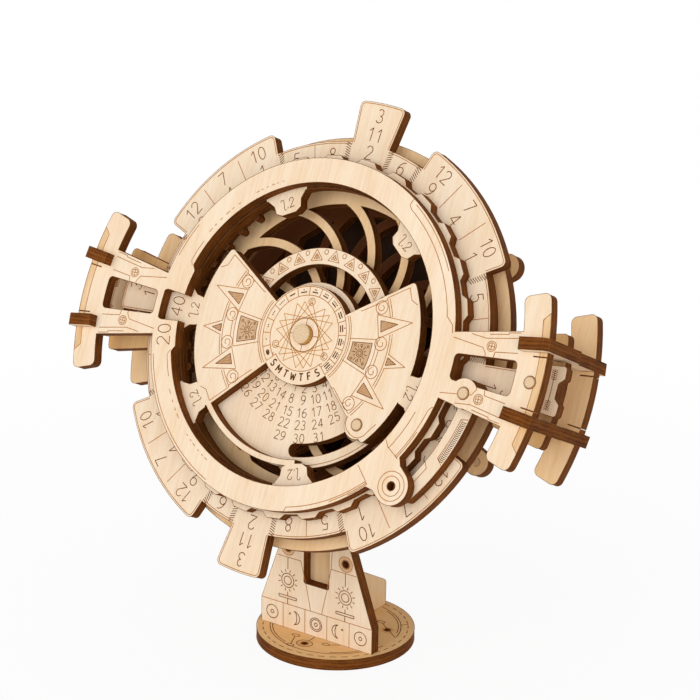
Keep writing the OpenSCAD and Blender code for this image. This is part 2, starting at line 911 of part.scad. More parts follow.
// A sheet of the dial, drawn in the dial's own angles
module dial_layer(depth, thick = ply) {
    layer(depth, thick)
        at(dial_turn)
            children();
}

// Holes for the pegs that join the dial's layers
module dial_peg_places(r, first) {
    for (i = [0:3])
        translate(cw(r, first + i * 90))
            children();
}

module date_plate() {
    color(pale)
        dial_layer(dial_d)
            difference() {
                union() {
                    circle(date_hub_r);
                    soft_part(axle_d, date_r, 180 - fan_half, 180 + fan_half, 0, 1);
                    ring_part(band_in_r, band_out_r, fan_half - 182, 182 - fan_half);
                }
                ring_part(wing_peg_r - slot_half + seam, wing_peg_r + slot_half - seam,
                    wing_peg_angle - dial_swing, wing_peg_angle + dial_swing);
                for (a = [-dial_swing, dial_swing])
                    translate(cw(wing_peg_r, wing_peg_angle + a))
                        circle(slot_half);
                circle(run_r);
                dial_peg_places(hub_peg_r, 45)
                    circle(hub_peg_d / 2 + push_play);
            }
}

// One small rounded tooth of the month ring's inner edge, drawn at the top
module small_tooth() {
    half = 0.9;
    base = month_in_r + 0.6;
    tip = month_in_r - small_tooth_h;
    polygon(concat(
        [[half, base], [-half, base]],
        rounded([-half, base], [-half, tip], [half, tip], 0.7),
        rounded([-half, tip], [half, tip], [half, base], 0.7)));
}

// One tab of the month ring, out to radius r between two angles
module month_tab(r, a0, a1) {
    soft_part(month_r - 1, r, a0, a1, 0, tab_corner);
}

module month_ring() {
    color(pale)
        dial_layer(dial_d)
            difference() {
                union() {
                    annulus(month_in_r, month_r);
                    for (quarter = [0:90:270]) {
                        month_tab(long_tab_r, quarter - tab_half, quarter + tab_half);
                        month_tab(wide_tab_r, quarter + wide_from, quarter + wide_to);
                    }
                    for (i = [0:small_teeth - 1])
                        at(small_first + i * small_pitch)
                            small_tooth();
                }
                dial_peg_places(ring_peg_r, 20)
                    circle(peg_hole_r);
            }
}

module ring_spacer() {
    color(birch)
        dial_layer(spacer_d)
            difference() {
                annulus(month_in_r + spacer_ring_in, month_r - spacer_ring_out);
                dial_peg_places(ring_peg_r, 20)
                    circle(peg_hole_r);
            }
}

module hub_spacer() {
    color(birch)
        dial_layer(spacer_d)
            difference() {
                annulus(run_r, rosette_hub_r);
                dial_peg_places(hub_peg_r, 45)
                    circle(hub_peg_d / 2 + push_play);
            }
}

module month_wheel() {
    color(birch)
        dial_layer(wheel_d)
            difference() {
                union() {
                    annulus(wheel_in_r, wheel_r);
                    rosette(wheel_in_r, 1);
                }
                circle(run_r);
                dial_peg_places(ring_peg_r, 20)
                    circle(peg_hole_r);
                dial_peg_places(hub_peg_r, 45)
                    circle(hub_peg_d / 2 + push_play);
            }
}

module ring_pegs() {
    color(birch)
        dial_layer(dial_d, 3 * ply)
            dial_peg_places(ring_peg_r, 20)
                circle(peg_r);
}

module hub_pegs() {
    color(birch)
        dial_layer(dial_d, 3 * ply)
            dial_peg_places(hub_peg_r, 45)
                circle(hub_peg_d / 2);
}

// ---------------------------------------------------------------- lever

module lever() {
    tooth_angle = 10 * sector;
    end_angle = tooth_angle + 2;
    color(birch)
        cage_layer(year_d)
            difference() {
                union() {
                    translate(cw(pivot_r, pivot_angle))
                        circle(lever_head);
                    soft_part(lever_in_r, lever_out_r, pivot_angle, end_angle, 0.6, 1.2);
                    at(tooth_angle)
                        polygon([cw(lever_in_r + 1, -2.6), cw(crest_r + lever_gap, -1.1),
                            cw(crest_r + lever_gap, 1.1), cw(lever_in_r + 1, 1.9)]);
                }
                translate(cw(pivot_r, pivot_angle))
                    circle(peg_r + run_play);
            }
}

base_disc();
stand_front();
stand_panel();
rib_left();
rib_right();
hub_plate();
axle();
axle_washer();
axle_sleeve();
year_plate();
wing_peg();
cage_front();
cage_rear();
cage_backing();
clip_right_upper();
clip_right_lower();
clip_left_upper();
clip_left_lower();
spacer_plate_right();
spacer_plate_left();
yoke_right();
yoke_left();
lever_peg();
bar_peg();
rear_pins();
date_plate();
month_ring();
ring_spacer();
hub_spacer();
month_wheel();
ring_pegs();
hub_pegs();
lever();
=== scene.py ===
# Looks of a perpetual desk calendar cut from birch plywood. The sheets keep their exact solids and get their
# wood. Every burnt line, number and ornament is a thin ribbon that Geometry Nodes draw along a flat path.
# Toasted places are thin plates. Drawn lengths are in millimetres. A place on a disc is a radius and an
# angle in degrees, clockwise from the top as seen from the front.

import json
import math

import bmesh
import bpy
from mathutils import Matrix, Vector


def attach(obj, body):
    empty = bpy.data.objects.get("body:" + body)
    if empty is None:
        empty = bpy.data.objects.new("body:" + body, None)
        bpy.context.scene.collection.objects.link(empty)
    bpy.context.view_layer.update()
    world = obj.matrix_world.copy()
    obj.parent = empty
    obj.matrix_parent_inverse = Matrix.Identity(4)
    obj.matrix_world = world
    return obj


MM = 0.001

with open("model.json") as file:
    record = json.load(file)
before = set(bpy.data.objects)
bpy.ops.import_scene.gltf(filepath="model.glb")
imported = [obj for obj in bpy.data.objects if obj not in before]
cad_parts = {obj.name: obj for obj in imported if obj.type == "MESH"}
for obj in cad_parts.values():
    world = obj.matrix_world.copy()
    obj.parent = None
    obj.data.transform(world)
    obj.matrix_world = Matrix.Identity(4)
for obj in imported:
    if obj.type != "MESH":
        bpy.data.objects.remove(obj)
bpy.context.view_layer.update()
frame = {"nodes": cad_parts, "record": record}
NODES = frame["nodes"]
JOINTS = {joint["name"]: joint for joint in frame["record"]["behaviour"]["joints"]}
BODY_OF = {node: body for body, nodes in frame["record"]["behaviour"]["bodies"].items() for node in nodes}

# The stack's own frame: where its discs are centred, where their faces look, which way is up along them, and
# the directions across, along and through their grain
CENTRE = Vector(JOINTS["cage_turn"]["pos_m"])
FRONT = Vector(JOINTS["cage_turn"]["axis"]).normalized()
RIGHT = Vector((1, 0, 0))
UP = FRONT.cross(RIGHT)
DISC_GRAIN = (FRONT.cross(UP), UP, FRONT)

# Directions of the table that the calendar stands on
BACK = Vector((0, 1, 0))
VERTICAL = Vector((0, 0, 1))

SECTORS = 28
SECTOR = 360 / SECTORS
CAGE_TURN = -0.66
DIAL_TURN = 3.04
BARS = (90, 270)
CLIP_ANGLES = {"clip_right_upper": 82.5, "clip_right_lower": 97.5,
               "clip_left_upper": 277.5, "clip_left_lower": 262.5}

# Widths of the burnt ribbons, and the thickness of ribbons, edge lines and toasted plates
HATCH = 0.14
LEAF = 0.17
FINE = 0.19
MARK = 0.23
THICK = 0.32
LETTER = 0.36
RIBBON_HEIGHT = 0.05
EDGE_BURN = 0.09
TINT_HEIGHT = 0.016

# Half widths of the rims round a peg and round the axle, partly the burnt edge of the hole and partly
# painted shadow of the gap round the peg
PEG_RIM = 1.53
AXLE_RIM = 2.53

# A stroke is cut where it bends by more than the first, and a sheet's edge is burnt above the second
SHARP_BEND = math.radians(50)
SHARP_EDGE = math.radians(40)


# ---- camera, light and floor

CAMERA_PLACE = (0.31234, -0.44383, 0.25606)
CAMERA_TURN = (72.100, -0.913, 35.151)
CAMERA_LENS = 113.67
SENSOR = 36.0
AMBIENT = 0.54
WHITE = (1, 1, 1, 1)
FLOOR_RADIUS = 4.0
FLOOR_GREY = 0.9


def place_camera():
    data = bpy.data.cameras.new("camera")
    data.lens = CAMERA_LENS
    data.sensor_width = SENSOR
    data.clip_start = 0.01
    camera = bpy.data.objects.new("camera", data)
    camera.location = CAMERA_PLACE
    camera.rotation_euler = [math.radians(turn) for turn in CAMERA_TURN]
    bpy.context.collection.objects.link(camera)
    bpy.context.scene.camera = camera


def softbox(name, place, size, power):
    """A square soft lamp that looks at the middle of the calendar."""
    data = bpy.data.lights.new(name, "AREA")
    data.shape = "SQUARE"
    data.size = size
    data.energy = power
    lamp = bpy.data.objects.new(name, data)
    lamp.location = place
    lamp.rotation_euler = (Vector(place) - CENTRE).to_track_quat("Z", "Y").to_euler()
    bpy.context.collection.objects.link(lamp)


def seen_directly(tree):
    """A socket that is 1 where the camera, a reflection or a clear material looks, and 0 for lighting."""
    rays = add(tree, "ShaderNodeLightPath")
    seen = calc(tree, "MAXIMUM", rays.outputs["Is Camera Ray"], rays.outputs["Is Glossy Ray"])
    return calc(tree, "MAXIMUM", seen, rays.outputs["Is Transmission Ray"])


def light_world():
    world = bpy.data.worlds.new("studio")
    world.use_nodes = True
    tree = world.node_tree
    tree.nodes.clear()
    soft = add(tree, "ShaderNodeBackground", inputs={"Color": WHITE, "Strength": AMBIENT})
    bright = add(tree, "ShaderNodeBackground", inputs={"Color": WHITE, "Strength": 1.0})
    mix = add(tree, "ShaderNodeMixShader", inputs={0: seen_directly(tree), 1: soft, 2: bright})
    add(tree, "ShaderNodeOutputWorld", inputs={"Surface": mix})
    bpy.context.scene.world = world


def floor_material():
    """Pale paper that keeps a faint shadow near the foot and turns into the white background further out."""
    near, far = 0.06, 0.3
    near_white = 0.92
    material, tree = new_material("floor_paper")
    paper = add(tree, "ShaderNodeBsdfDiffuse", inputs={"Color": (FLOOR_GREY, FLOOR_GREY, FLOOR_GREY, 1)})
    glow = add(tree, "ShaderNodeEmission", inputs={"Color": WHITE, "Strength": 1.0})
    away = vector_calc(tree, "LENGTH", add(tree, "ShaderNodeTexCoord").outputs["Object"])
    spread = remap(tree, away, near, far, near_white, 1.0)
    amount = calc(tree, "MULTIPLY", spread, seen_directly(tree))
    mix = add(tree, "ShaderNodeMixShader", inputs={0: amount, 1: paper, 2: glow})
    add(tree, "ShaderNodeOutputMaterial", inputs={"Surface": mix})
    return material


def lay_floor():
    mesh = bpy.data.meshes.new("floor")
    shape = bmesh.new()
    bmesh.ops.create_circle(shape, cap_ends=True, radius=FLOOR_RADIUS, segments=96)
    shape.to_mesh(mesh)
    shape.free()
    floor = bpy.data.objects.new("floor", mesh)
    bpy.context.collection.objects.link(floor)
    mesh.materials.append(floor_material())


# ---- shader helpers

def srgb(red, green, blue):
    """The linear colour that shows as these 0 to 255 values."""
    def linear(value):
        value /= 255
        return value / 12.92 if value <= 0.04045 else ((value + 0.055) / 1.055) ** 2.4
    return (linear(red), linear(green), linear(blue), 1)


def add(tree, kind, settings=None, inputs=None):
    """Adds a node, sets its properties, and fills its inputs or links them to sockets or to other nodes."""
    node = tree.nodes.new(kind)
    for name, value in (settings or {}).items():
        setattr(node, name, value)
    for key, value in (inputs or {}).items():
        if isinstance(value, bpy.types.Node):
            value = value.outputs[0]
        if isinstance(value, bpy.types.NodeSocket):
            tree.links.new(value, node.inputs[key])
        else:
            node.inputs[key].default_value = value
    return node


def calc(tree, operation, first, second=0.0):
    return add(tree, "ShaderNodeMath", {"operation": operation}, {0: first, 1: second}).outputs[0]


def vector_calc(tree, operation, first, second=(0, 0, 0), result="Value"):
    node = add(tree, "ShaderNodeVectorMath", {"operation": operation}, {0: first, 1: tuple(second)})
    return node.outputs[result]


def weighted(tree, *pairs):
    """The sum of some values, each times its share."""
    total = calc(tree, "MULTIPLY", *pairs[0])
    for value, share in pairs[1:]:
        total = calc(tree, "ADD", total, calc(tree, "MULTIPLY", value, share))
    return total


def remap(tree, value, low, high, to_low=0.0, to_high=1.0):
    node = add(tree, "ShaderNodeMapRange", {"clamp": True},
               {"Value": value, "From Min": low, "From Max": high, "To Min": to_low, "To Max": to_high})
    return node.outputs["Result"]


def measured(tree, place, directions):
    """How far a place lies along each direction."""
    return [vector_calc(tree, "DOT_PRODUCT", place, direction) for direction in directions]


def noise(tree, parts, sizes, detail, roughness):
    """Noise over measured parts whose marks have these sizes in millimetres."""
    scaled = [calc(tree, "DIVIDE", part, size * MM) for part, size in zip(parts, sizes)]
    vector = add(tree, "ShaderNodeCombineXYZ", inputs=dict(enumerate(scaled)))
    node = add(tree, "ShaderNodeTexNoise",
               inputs={"Vector": vector, "Scale": 1.0, "Detail": detail, "Roughness": roughness})
    return node.outputs["Fac"]


def ramp(tree, value, stops):
    """Colours along a value, as pairs of a position and a colour from 0 to 255."""
    node = add(tree, "ShaderNodeValToRGB", inputs={"Fac": value})
    elements = node.color_ramp.elements
    while len(elements) < len(stops):
        elements.new(0.5)
    for element, (position, colour) in zip(elements, stops):
        element.position = position
        element.color = srgb(*colour)
    return node.outputs["Color"]


def mix_colours(tree, amount, first, second, blend="MIX"):
    node = add(tree, "ShaderNodeMix", {"data_type": "RGBA", "blend_type": blend},
               {"Factor": amount, 6: first, 7: second})
    return node.outputs[2]


def new_material(name):
    material = bpy.data.materials.new(name)
    material.use_nodes = True
    material.node_tree.nodes.clear()
    return material, material.node_tree


BUMP_STRENGTH = 0.6
GLOSS = 0.12


def finish_surface(tree, colour, roughness, height, bump_depth):
    """Ends a material in one dull shader with a roughness and a bump, in millimetres, of its own."""
    bump = add(tree, "ShaderNodeBump",
               inputs={"Height": height, "Strength": BUMP_STRENGTH, "Distance": bump_depth * MM})
    shader = add(tree, "ShaderNodeBsdfPrincipled",
                 inputs={"Base Color": colour, "Roughness": roughness, "Specular IOR Level": GLOSS,
                         "Normal": bump})
    add(tree, "ShaderNodeOutputMaterial", inputs={"Surface": shader})


# ---- wood

FACE_STOPS = [(0.0, (234, 200, 160)), (0.3, (241, 213, 179)), (0.55, (245, 221, 191)),
              (0.8, (247, 227, 201)), (1.0, (249, 233, 212))]
PLY_STOPS = [(0.0, (34, 14, 2)), (0.07, (98, 48, 10)), (0.2, (134, 72, 19)), (0.3, (84, 41, 9)),
             (0.4, (114, 60, 15)), (0.5, (146, 82, 26)), (0.6, (110, 57, 14)), (0.7, (80, 38, 8)),
             (0.8, (130, 70, 18)), (0.93, (94, 46, 10)), (1.0, (32, 13, 2))]
CHAR = srgb(38, 20, 9)
AMBER = srgb(205, 138, 62)
HONEY = srgb(158, 94, 34)
# Rim of a peg's end: partly burnt wood and partly painted shadow of the gap round the peg
RIM = srgb(128, 84, 42)
# Dark brown of the painted shade over the middle of the rear sheets
SHADE_BROWN = srgb(92, 60, 32)
# Painted shade: a golden tone for the yokes, the spacers and the foot, and a warm tone for the rear cage,
# the month wheel, the ribs and the stand's panel, which sit deep or under others
GOLDEN_SHADE = srgb(250, 226, 184)
WARM_SHADE = srgb(255, 240, 214)
SHADE_TONES = {**dict.fromkeys(("yoke_left", "yoke_right", "ring_spacer", "hub_spacer", "base_disc"), GOLDEN_SHADE),
         **dict.fromkeys(("cage_rear", "month_wheel", "rib_left", "rib_right", "stand_panel"), WARM_SHADE)}

# Radii between which the painted shade, a dark brown over a sheet's middle, ends, and between which it
# begins round a pale hub
PAINTED_SHADE_RADII = {"cage_rear": (49, 53), "month_ring": (41, 41.8)}
PALE_HUB = (22, 26)


def sheet_span(node, normal):
    """Lowest and highest place of a node along its sheet's normal, in metres."""
    reach = [vertex.co.dot(normal) for vertex in NODES[node].data.vertices]
    return min(reach), max(reach)


def facing(tree, coordinates, direction):
    """A socket that is 1 on faces square to a direction, and 0 on faces that run along it."""
    return calc(tree, "ABSOLUTE", vector_calc(tree, "DOT_PRODUCT", coordinates.outputs["Normal"], direction))


def face_wood(tree, parts):
    """Pale birch with fine vessels, soft streaks and cloudy patches. Returns its colour and its height."""
    vessels = noise(tree, parts, (0.16, 3.2, 2), 3.0, 0.65)
    streaks = noise(tree, parts, (0.9, 26, 6), 3.0, 0.5)
    patches = noise(tree, parts, (7, 30, 9), 2.0, 0.5)
    value = weighted(tree, (vessels, 0.4), (streaks, 0.28), (patches, 0.32))
    return ramp(tree, remap(tree, value, 0.34, 0.66), FACE_STOPS), vessels


def edge_wood(tree, parts, level):
    """The burnt cut through the plies. Level runs from 0 to 1 through the sheet."""
    drift = noise(tree, parts, (4, 4, 2), 2.0, 0.5)
    streaks = noise(tree, parts, (1.6, 1.6, 0.14), 4.0, 0.65)
    scorch = noise(tree, parts, (6, 6, 3), 3.0, 0.6)
    shifted = calc(tree, "ADD", level, remap(tree, drift, 0.3, 0.7, -0.06, 0.06))
    light = ramp(tree, streaks, [(0.3, (150, 150, 150)), (0.7, (255, 255, 255))])
    colour = mix_colours(tree, 0.75, ramp(tree, shifted, PLY_STOPS), light, "MULTIPLY")
    return mix_colours(tree, remap(tree, scorch, 0.35, 0.7, 0.0, 0.4), colour, HONEY), streaks


def halo(tree, place, colour, burns):
    """Scorches the face round holes that are given as (centre, radius) in metres."""
    for centre, radius in burns:
        gap = calc(tree, "DIVIDE", vector_calc(tree, "DISTANCE", place, centre), radius)
        colour = mix_colours(tree, remap(tree, gap, 1.0, 2.6, 0.9, 0.0), colour, AMBER)
        colour = mix_colours(tree, remap(tree, gap, 0.9, 1.45, 1.0, 0.0), colour, CHAR)
    return colour


def stained(tree, place, face, fade):
    """Paints shade on a face inside a radius, except near its hub. The painted shade ends between the two
    radii of fade.
    """
    away = vector_calc(tree, "DISTANCE", place, CENTRE)
    inside = remap(tree, away, fade[0] * MM, fade[1] * MM, 1.0, 0.0)
    amount = calc(tree, "MULTIPLY", inside, remap(tree, away, PALE_HUB[0] * MM, PALE_HUB[1] * MM))
    return mix_colours(tree, amount, face, mix_colours(tree, 1.0, face, SHADE_BROWN, "MULTIPLY"))


def plywood(node):
    """Birch ply for a node's sheet, with a scorched face round its small holes, and painted shade on the
    sheets that sit deep or under others.
    """
    normal, grain = sheet_directions(node)
    low, high = sheet_span(node, normal)
    material, tree = new_material("ply_" + node)
    coordinates = add(tree, "ShaderNodeTexCoord")
    place = coordinates.outputs["Object"]
    parts = measured(tree, place, (normal.cross(grain), grain, normal))
    face, vessels = face_wood(tree, parts)
    # Painted shade: sheets that sit deep or under others are toned darker and more golden
    if node in SHADE_TONES:
        face = mix_colours(tree, 1.0, face, SHADE_TONES[node], "MULTIPLY")
    # Painted shade: a dark brown over the middle of the rear cage and the month ring
    if node in PAINTED_SHADE_RADII:
        face = stained(tree, place, face, PAINTED_SHADE_RADII[node])
    face = halo(tree, place, face, burnt_holes(node))
    edge, streaks = edge_wood(tree, parts, remap(tree, parts[2], low, high))
    cut = remap(tree, facing(tree, coordinates, normal), 0.85, 0.6)
    colour = mix_colours(tree, cut, face, edge)
    relief = add(tree, "ShaderNodeMix", {"data_type": "FLOAT"}, {"Factor": cut, 2: vessels, 3: streaks})
    finish_surface(tree, colour, remap(tree, cut, 0, 1, 0.6, 0.78), relief, 0.03)
    return material


RING_PITCH = 0.42


def dowel(name, centre, radius, rim_strength):
    """A peg along the stack's axis: end grain with a rim that is partly burnt and partly painted shadow of
    the gap round it, and a golden side with fine streaks.
    """
    material, tree = new_material(name)
    coordinates = add(tree, "ShaderNodeTexCoord")
    away = vector_calc(tree, "SUBTRACT", coordinates.outputs["Object"], centre, "Vector")
    parts = measured(tree, away, (UP, FRONT.cross(UP), FRONT))
    reach = vector_calc(tree, "LENGTH", vector_calc(tree, "CROSS_PRODUCT", away, FRONT, "Vector"))
    wobble = noise(tree, parts, (0.9, 0.9, 9), 2.0, 0.5)
    rings = calc(tree, "DIVIDE", parts[0], RING_PITCH * MM)
    rings = calc(tree, "ADD", rings, calc(tree, "MULTIPLY", wobble, 3.0))
    rings = calc(tree, "SINE", calc(tree, "MULTIPLY", rings, 2 * math.pi))
    pores = noise(tree, parts, (0.12, 0.12, 4), 2.0, 0.6)
    end = weighted(tree, (remap(tree, rings, -1, 1), 0.35), (pores, 0.65))
    end_colour = ramp(tree, end, [(0.2, (206, 170, 128)), (0.5, (226, 197, 158)), (0.8, (238, 214, 182))])
    # Painted shadow: the dark rim stands partly for the burnt hole and partly for the shadow in the gap
    # round the peg
    rim = remap(tree, calc(tree, "DIVIDE", reach, radius), 0.72, 0.97, 0.0, rim_strength)
    end_colour = mix_colours(tree, rim, end_colour, RIM)
    streaks = noise(tree, parts, (0.25, 0.25, 3), 3.0, 0.6)
    side_colour = ramp(tree, streaks, [(0.3, (186, 132, 62)), (0.7, (222, 172, 98))])
    end_amount = remap(tree, facing(tree, coordinates, FRONT), 0.6, 0.85)
    finish_surface(tree, mix_colours(tree, end_amount, side_colour, end_colour), 0.6, streaks, 0.03)
    return material


def two_tone(name, directions, specks, clouds, share, dark, light, roughness, bump_depth):
    """A finish that drifts between two colours, in specks that also give its bump and in larger clouds."""
    material, tree = new_material(name)
    parts = measured(tree, add(tree, "ShaderNodeTexCoord").outputs["Object"], directions)
    fine = noise(tree, parts, specks, 3.0, 0.6)
    value = weighted(tree, (fine, share), (noise(tree, parts, clouds, 2.0, 0.5), 1 - share))
    colour = ramp(tree, remap(tree, value, 0.35, 0.65), [(0.0, dark), (1.0, light)])
    finish_surface(tree, colour, roughness, fine, bump_depth)
    return material


def dark_sheet(name):
    """A thin sheet, almost black, with the grain only just showing: painted shade for the dark seen through
    the gaps of the stack.
    """
    return two_tone(name, DISC_GRAIN, (0.18, 4, 2), (6, 18, 6), 0.5, (26, 15, 8), (52, 31, 17), 0.8, 0.02)


def scorched(name, dark, light):
    """Colour of a burnt line, uneven as a laser leaves it. Two of these also give painted shade over the
    bars' slits and painted shadow in the gaps round pegs.
    """
    return two_tone(name, (RIGHT, UP, FRONT), (0.3, 0.3, 0.3), (5, 5, 5), 0.5, dark, light, 0.8, 0.01)


def toasted(name, dark, light):
    """Wood that a light pass of the laser has toasted, with its grain still showing. In near-black colours
    it gives painted shade instead.
    """
    return two_tone(name, DISC_GRAIN, (0.2, 4, 4), (1.4, 20, 6), 0.4, dark, light, 0.7, 0.02)


def sheet_directions(node):
    """Normal and grain direction of the sheet that a node is cut from."""
    if node == "base_disc":
        return VERTICAL, RIGHT
    if node in ("stand_front", "stand_panel"):
        return BACK, VERTICAL
    if node in ("rib_left", "rib_right"):
        return RIGHT, VERTICAL
    if node in CLIP_ANGLES:
        turn = math.radians(CLIP_ANGLES[node] + CAGE_TURN)
        return RIGHT * math.cos(turn) - UP * math.sin(turn), FRONT
    return FRONT, UP


# Small holes with scorched rims: where they lie on the foot and on the stand's front, and their radii
FOOT_TOP = 3
FOOT_HOLE_CIRCLE = 14.1
FOOT_HOLE_R = 0.8
STAND_FRONT = -9.1
STAND_HOLE_X = 9.35
STAND_HOLE_Z = 26.25
STAND_HOLE_R = 1.0

# Radius of the axle, and the radius under which a peg counts as thin
AXLE_R = 2.5
THIN_PEG_R = 2


def burnt_holes(node):
    """Centres and radii, in metres, of the small holes whose rims are scorched."""
    if node == "base_disc":
        places = [(*cw(FOOT_HOLE_CIRCLE, angle), FOOT_TOP) for angle in (180, 65, -65)]
        return [(Vector(place) * MM, FOOT_HOLE_R * MM) for place in places]
    if node == "stand_front":
        places = [(x, STAND_FRONT, STAND_HOLE_Z) for x in (-STAND_HOLE_X, STAND_HOLE_X)]
        return [(Vector(place) * MM, STAND_HOLE_R * MM) for place in places]
    return []


def peg_wood(node):
    """A dowel's wood. The thin pegs have a dark rim and the thick ones a faint one."""
    corners = [vertex.co for vertex in NODES[node].data.vertices]
    centre = sum(corners, Vector()) / len(corners)
    reach = max((corner - centre).cross(FRONT).length for corner in corners)
    rim_strength = 0.95 if reach < THIN_PEG_R * MM else 0.15
    return dowel("wood_" + node, centre, min(reach, AXLE_R * MM), rim_strength)


def dress_frame():
    """Gives every CAD node its wood."""
    slots = {part["node"]: part["material_slot"] for part in frame["record"]["subparts"]}
    for node, item in NODES.items():
        # The backing is painted shade: an almost black sheet behind the gaps of the stack
        if node == "cage_backing":
            wood = dark_sheet("paint_shade_backing")
        elif slots[node] == "peg_wood":
            wood = peg_wood(node)
        else:
            wood = plywood(node)
        item.data.materials.clear()
        item.data.materials.append(wood)


# ---- ribbons and panels

def drawing_tree(name, inputs):
    """A Geometry Nodes tree with named inputs. Returns it and the sockets that bring them in."""
    tree = bpy.data.node_groups.new(name, "GeometryNodeTree")
    for label, kind in inputs.items():
        tree.interface.new_socket(label, in_out="INPUT", socket_type="NodeSocket" + kind)
    tree.interface.new_socket("Lines", in_out="OUTPUT", socket_type="NodeSocketGeometry")
    return tree, tree.nodes.new("NodeGroupInput").outputs


def sweep(tree, curve, width, height, finish):
    """Ends a tree: a band of this width and height along its curves, real and with its finish."""
    profile = add(tree, "GeometryNodeCurvePrimitiveQuadrilateral", inputs={"Width": width, "Height": height})
    band = add(tree, "GeometryNodeCurveToMesh",
               inputs={"Curve": curve, "Profile Curve": profile, "Fill Caps": True})
    painted = add(tree, "GeometryNodeSetMaterial", inputs={"Geometry": band, "Material": finish})
    real = add(tree, "GeometryNodeRealizeInstances", inputs={"Geometry": painted})
    add(tree, "NodeGroupOutput", inputs={"Lines": real})
    return tree


def ribbon_tree():
    """Geometry Nodes that turn a flat path of edges into a thin flat ribbon."""
    tree, given = drawing_tree("burnt_ribbon", {"Path": "Geometry", "Line width": "Float",
                                                "Line height": "Float", "Finish": "Material"})
    curve = add(tree, "GeometryNodeMeshToCurve", inputs={"Mesh": given["Path"]})
    flat = add(tree, "GeometryNodeSetCurveNormal", {"mode": "Z_UP"}, {"Curve": curve})
    return sweep(tree, flat, given["Line width"], given["Line height"], given["Finish"])


def edge_tree():
    """Geometry Nodes that lay a thin burnt line along every sharp edge of a sheet."""
    tree, given = drawing_tree("burnt_edges", {"Sheet": "Geometry", "Line width": "Float",
                                               "Sharp angle": "Float", "Finish": "Material"})
    whole = add(tree, "GeometryNodeMergeByDistance", inputs={"Geometry": given["Sheet"], "Distance": 2e-6})
    angle = add(tree, "GeometryNodeInputMeshEdgeAngle").outputs["Unsigned Angle"]
    sharp = add(tree, "FunctionNodeCompare", {"data_type": "FLOAT", "operation": "GREATER_THAN"},
                {0: angle, 1: given["Sharp angle"]})
    curve = add(tree, "GeometryNodeMeshToCurve", inputs={"Mesh": whole, "Selection": sharp})
    return sweep(tree, curve, given["Line width"], given["Line width"], given["Finish"])


def grown(name, mesh, tree, values):
    """Runs a Geometry Nodes tree on a mesh and returns the plain mesh that comes out."""
    source = bpy.data.objects.new(name + "_path", mesh)
    bpy.context.collection.objects.link(source)
    modifier = source.modifiers.new("draw", "NODES")
    modifier.node_group = tree
    sockets = {item.name: item.identifier for item in tree.interface.items_tree if item.in_out == "INPUT"}
    for label, value in values.items():
        modifier[sockets[label]] = value
    evaluated = source.evaluated_get(bpy.context.evaluated_depsgraph_get())
    result = bpy.data.meshes.new_from_object(evaluated)
    bpy.data.objects.remove(source)
    return result


def keep(name, mesh, body, place=Matrix()):
    """Takes a finished mesh to its place and makes it a piece that moves with a body."""
    mesh.transform(place)
    shape = bmesh.new()
    shape.from_mesh(mesh)
    bmesh.ops.recalc_face_normals(shape, faces=shape.faces)
    shape.to_mesh(mesh)
    shape.free()
    mesh.name = name
    piece = bpy.data.objects.new(name, mesh)
    bpy.context.collection.objects.link(piece)
    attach(piece, body)


def cut_at_corners(stroke):
    """Splits a stroke where it turns sharply, because a ribbon thins out in a sharp bend."""
    pieces, first = [], 0
    for i in range(1, len(stroke) - 1):
        before = math.atan2(stroke[i][1] - stroke[i - 1][1], stroke[i][0] - stroke[i - 1][0])
        after = math.atan2(stroke[i + 1][1] - stroke[i][1], stroke[i + 1][0] - stroke[i][0])
        if abs(math.remainder(after - before, 2 * math.pi)) > SHARP_BEND:
            pieces.append(stroke[first:i + 1])
            first = i
    return pieces + [stroke[first:]]


def engrave(name, face, strokes, width, finish):
    """Burns paths, given as lists of points in millimetres, into a face."""
    mesh = bpy.data.meshes.new(name)
    points, edges = [], []
    for stroke in [piece for whole in strokes for piece in cut_at_corners(whole)]:
        first = len(points)
        closed = len(stroke) > 3 and math.dist(stroke[0], stroke[-1]) < 1e-6
        drawn = stroke[:-1] if closed else stroke
        points += [(x, y, 0) for x, y in drawn]
        edges += [(first + i, first + i + 1) for i in range(len(drawn) - 1)]
        if closed:
            edges.append((first + len(drawn) - 1, first))
    mesh.from_pydata(points, edges, [])
    ribbon = grown(name, mesh, RIBBON, {"Line width": width, "Line height": RIBBON_HEIGHT, "Finish": finish})
    keep(name, ribbon, *face)


def tint(name, face, outlines, finish):
    """Lays closed outlines on a face, each as a very thin plate: toasted places, and the painted shade on
    the year ring's lip.
    """
    mesh = bpy.data.meshes.new(name)
    points, faces = [], []
    for outline in outlines:
        first = len(points)
        count = len(outline)
        points += [(x, y, -TINT_HEIGHT) for x, y in outline] + [(x, y, TINT_HEIGHT) for x, y in outline]
        faces.append([first + i for i in reversed(range(count))])
        faces.append([first + count + i for i in range(count)])
        faces += [[first + i, first + (i + 1) % count, first + count + (i + 1) % count, first + count + i]
                  for i in range(count)]
    mesh.from_pydata(points, [], faces)
    mesh.materials.append(finish)
    keep(name, mesh, *face)


def burn_edges(node):
    """Lays the dark line that cutting leaves along the edges of a sheet."""
    lines = grown(node, NODES[node].data.copy(), EDGES,
                  {"Line width": EDGE_BURN * MM, "Sharp angle": SHARP_EDGE, "Finish": BURNT_EDGE_AND_SHADOW})
    keep(node + "_edges", lines, BODY_OF[node])


# ---- flat drawing

def flat_face(node, right, up, out, origin):
    """A node's face: its body, and the matrix that takes a drawing in millimetres there."""
    columns = (right * MM, up * MM, out * MM, origin)
    return BODY_OF[node], Matrix([[column[i] for column in columns] for i in range(3)] + [[0, 0, 0, 1]])


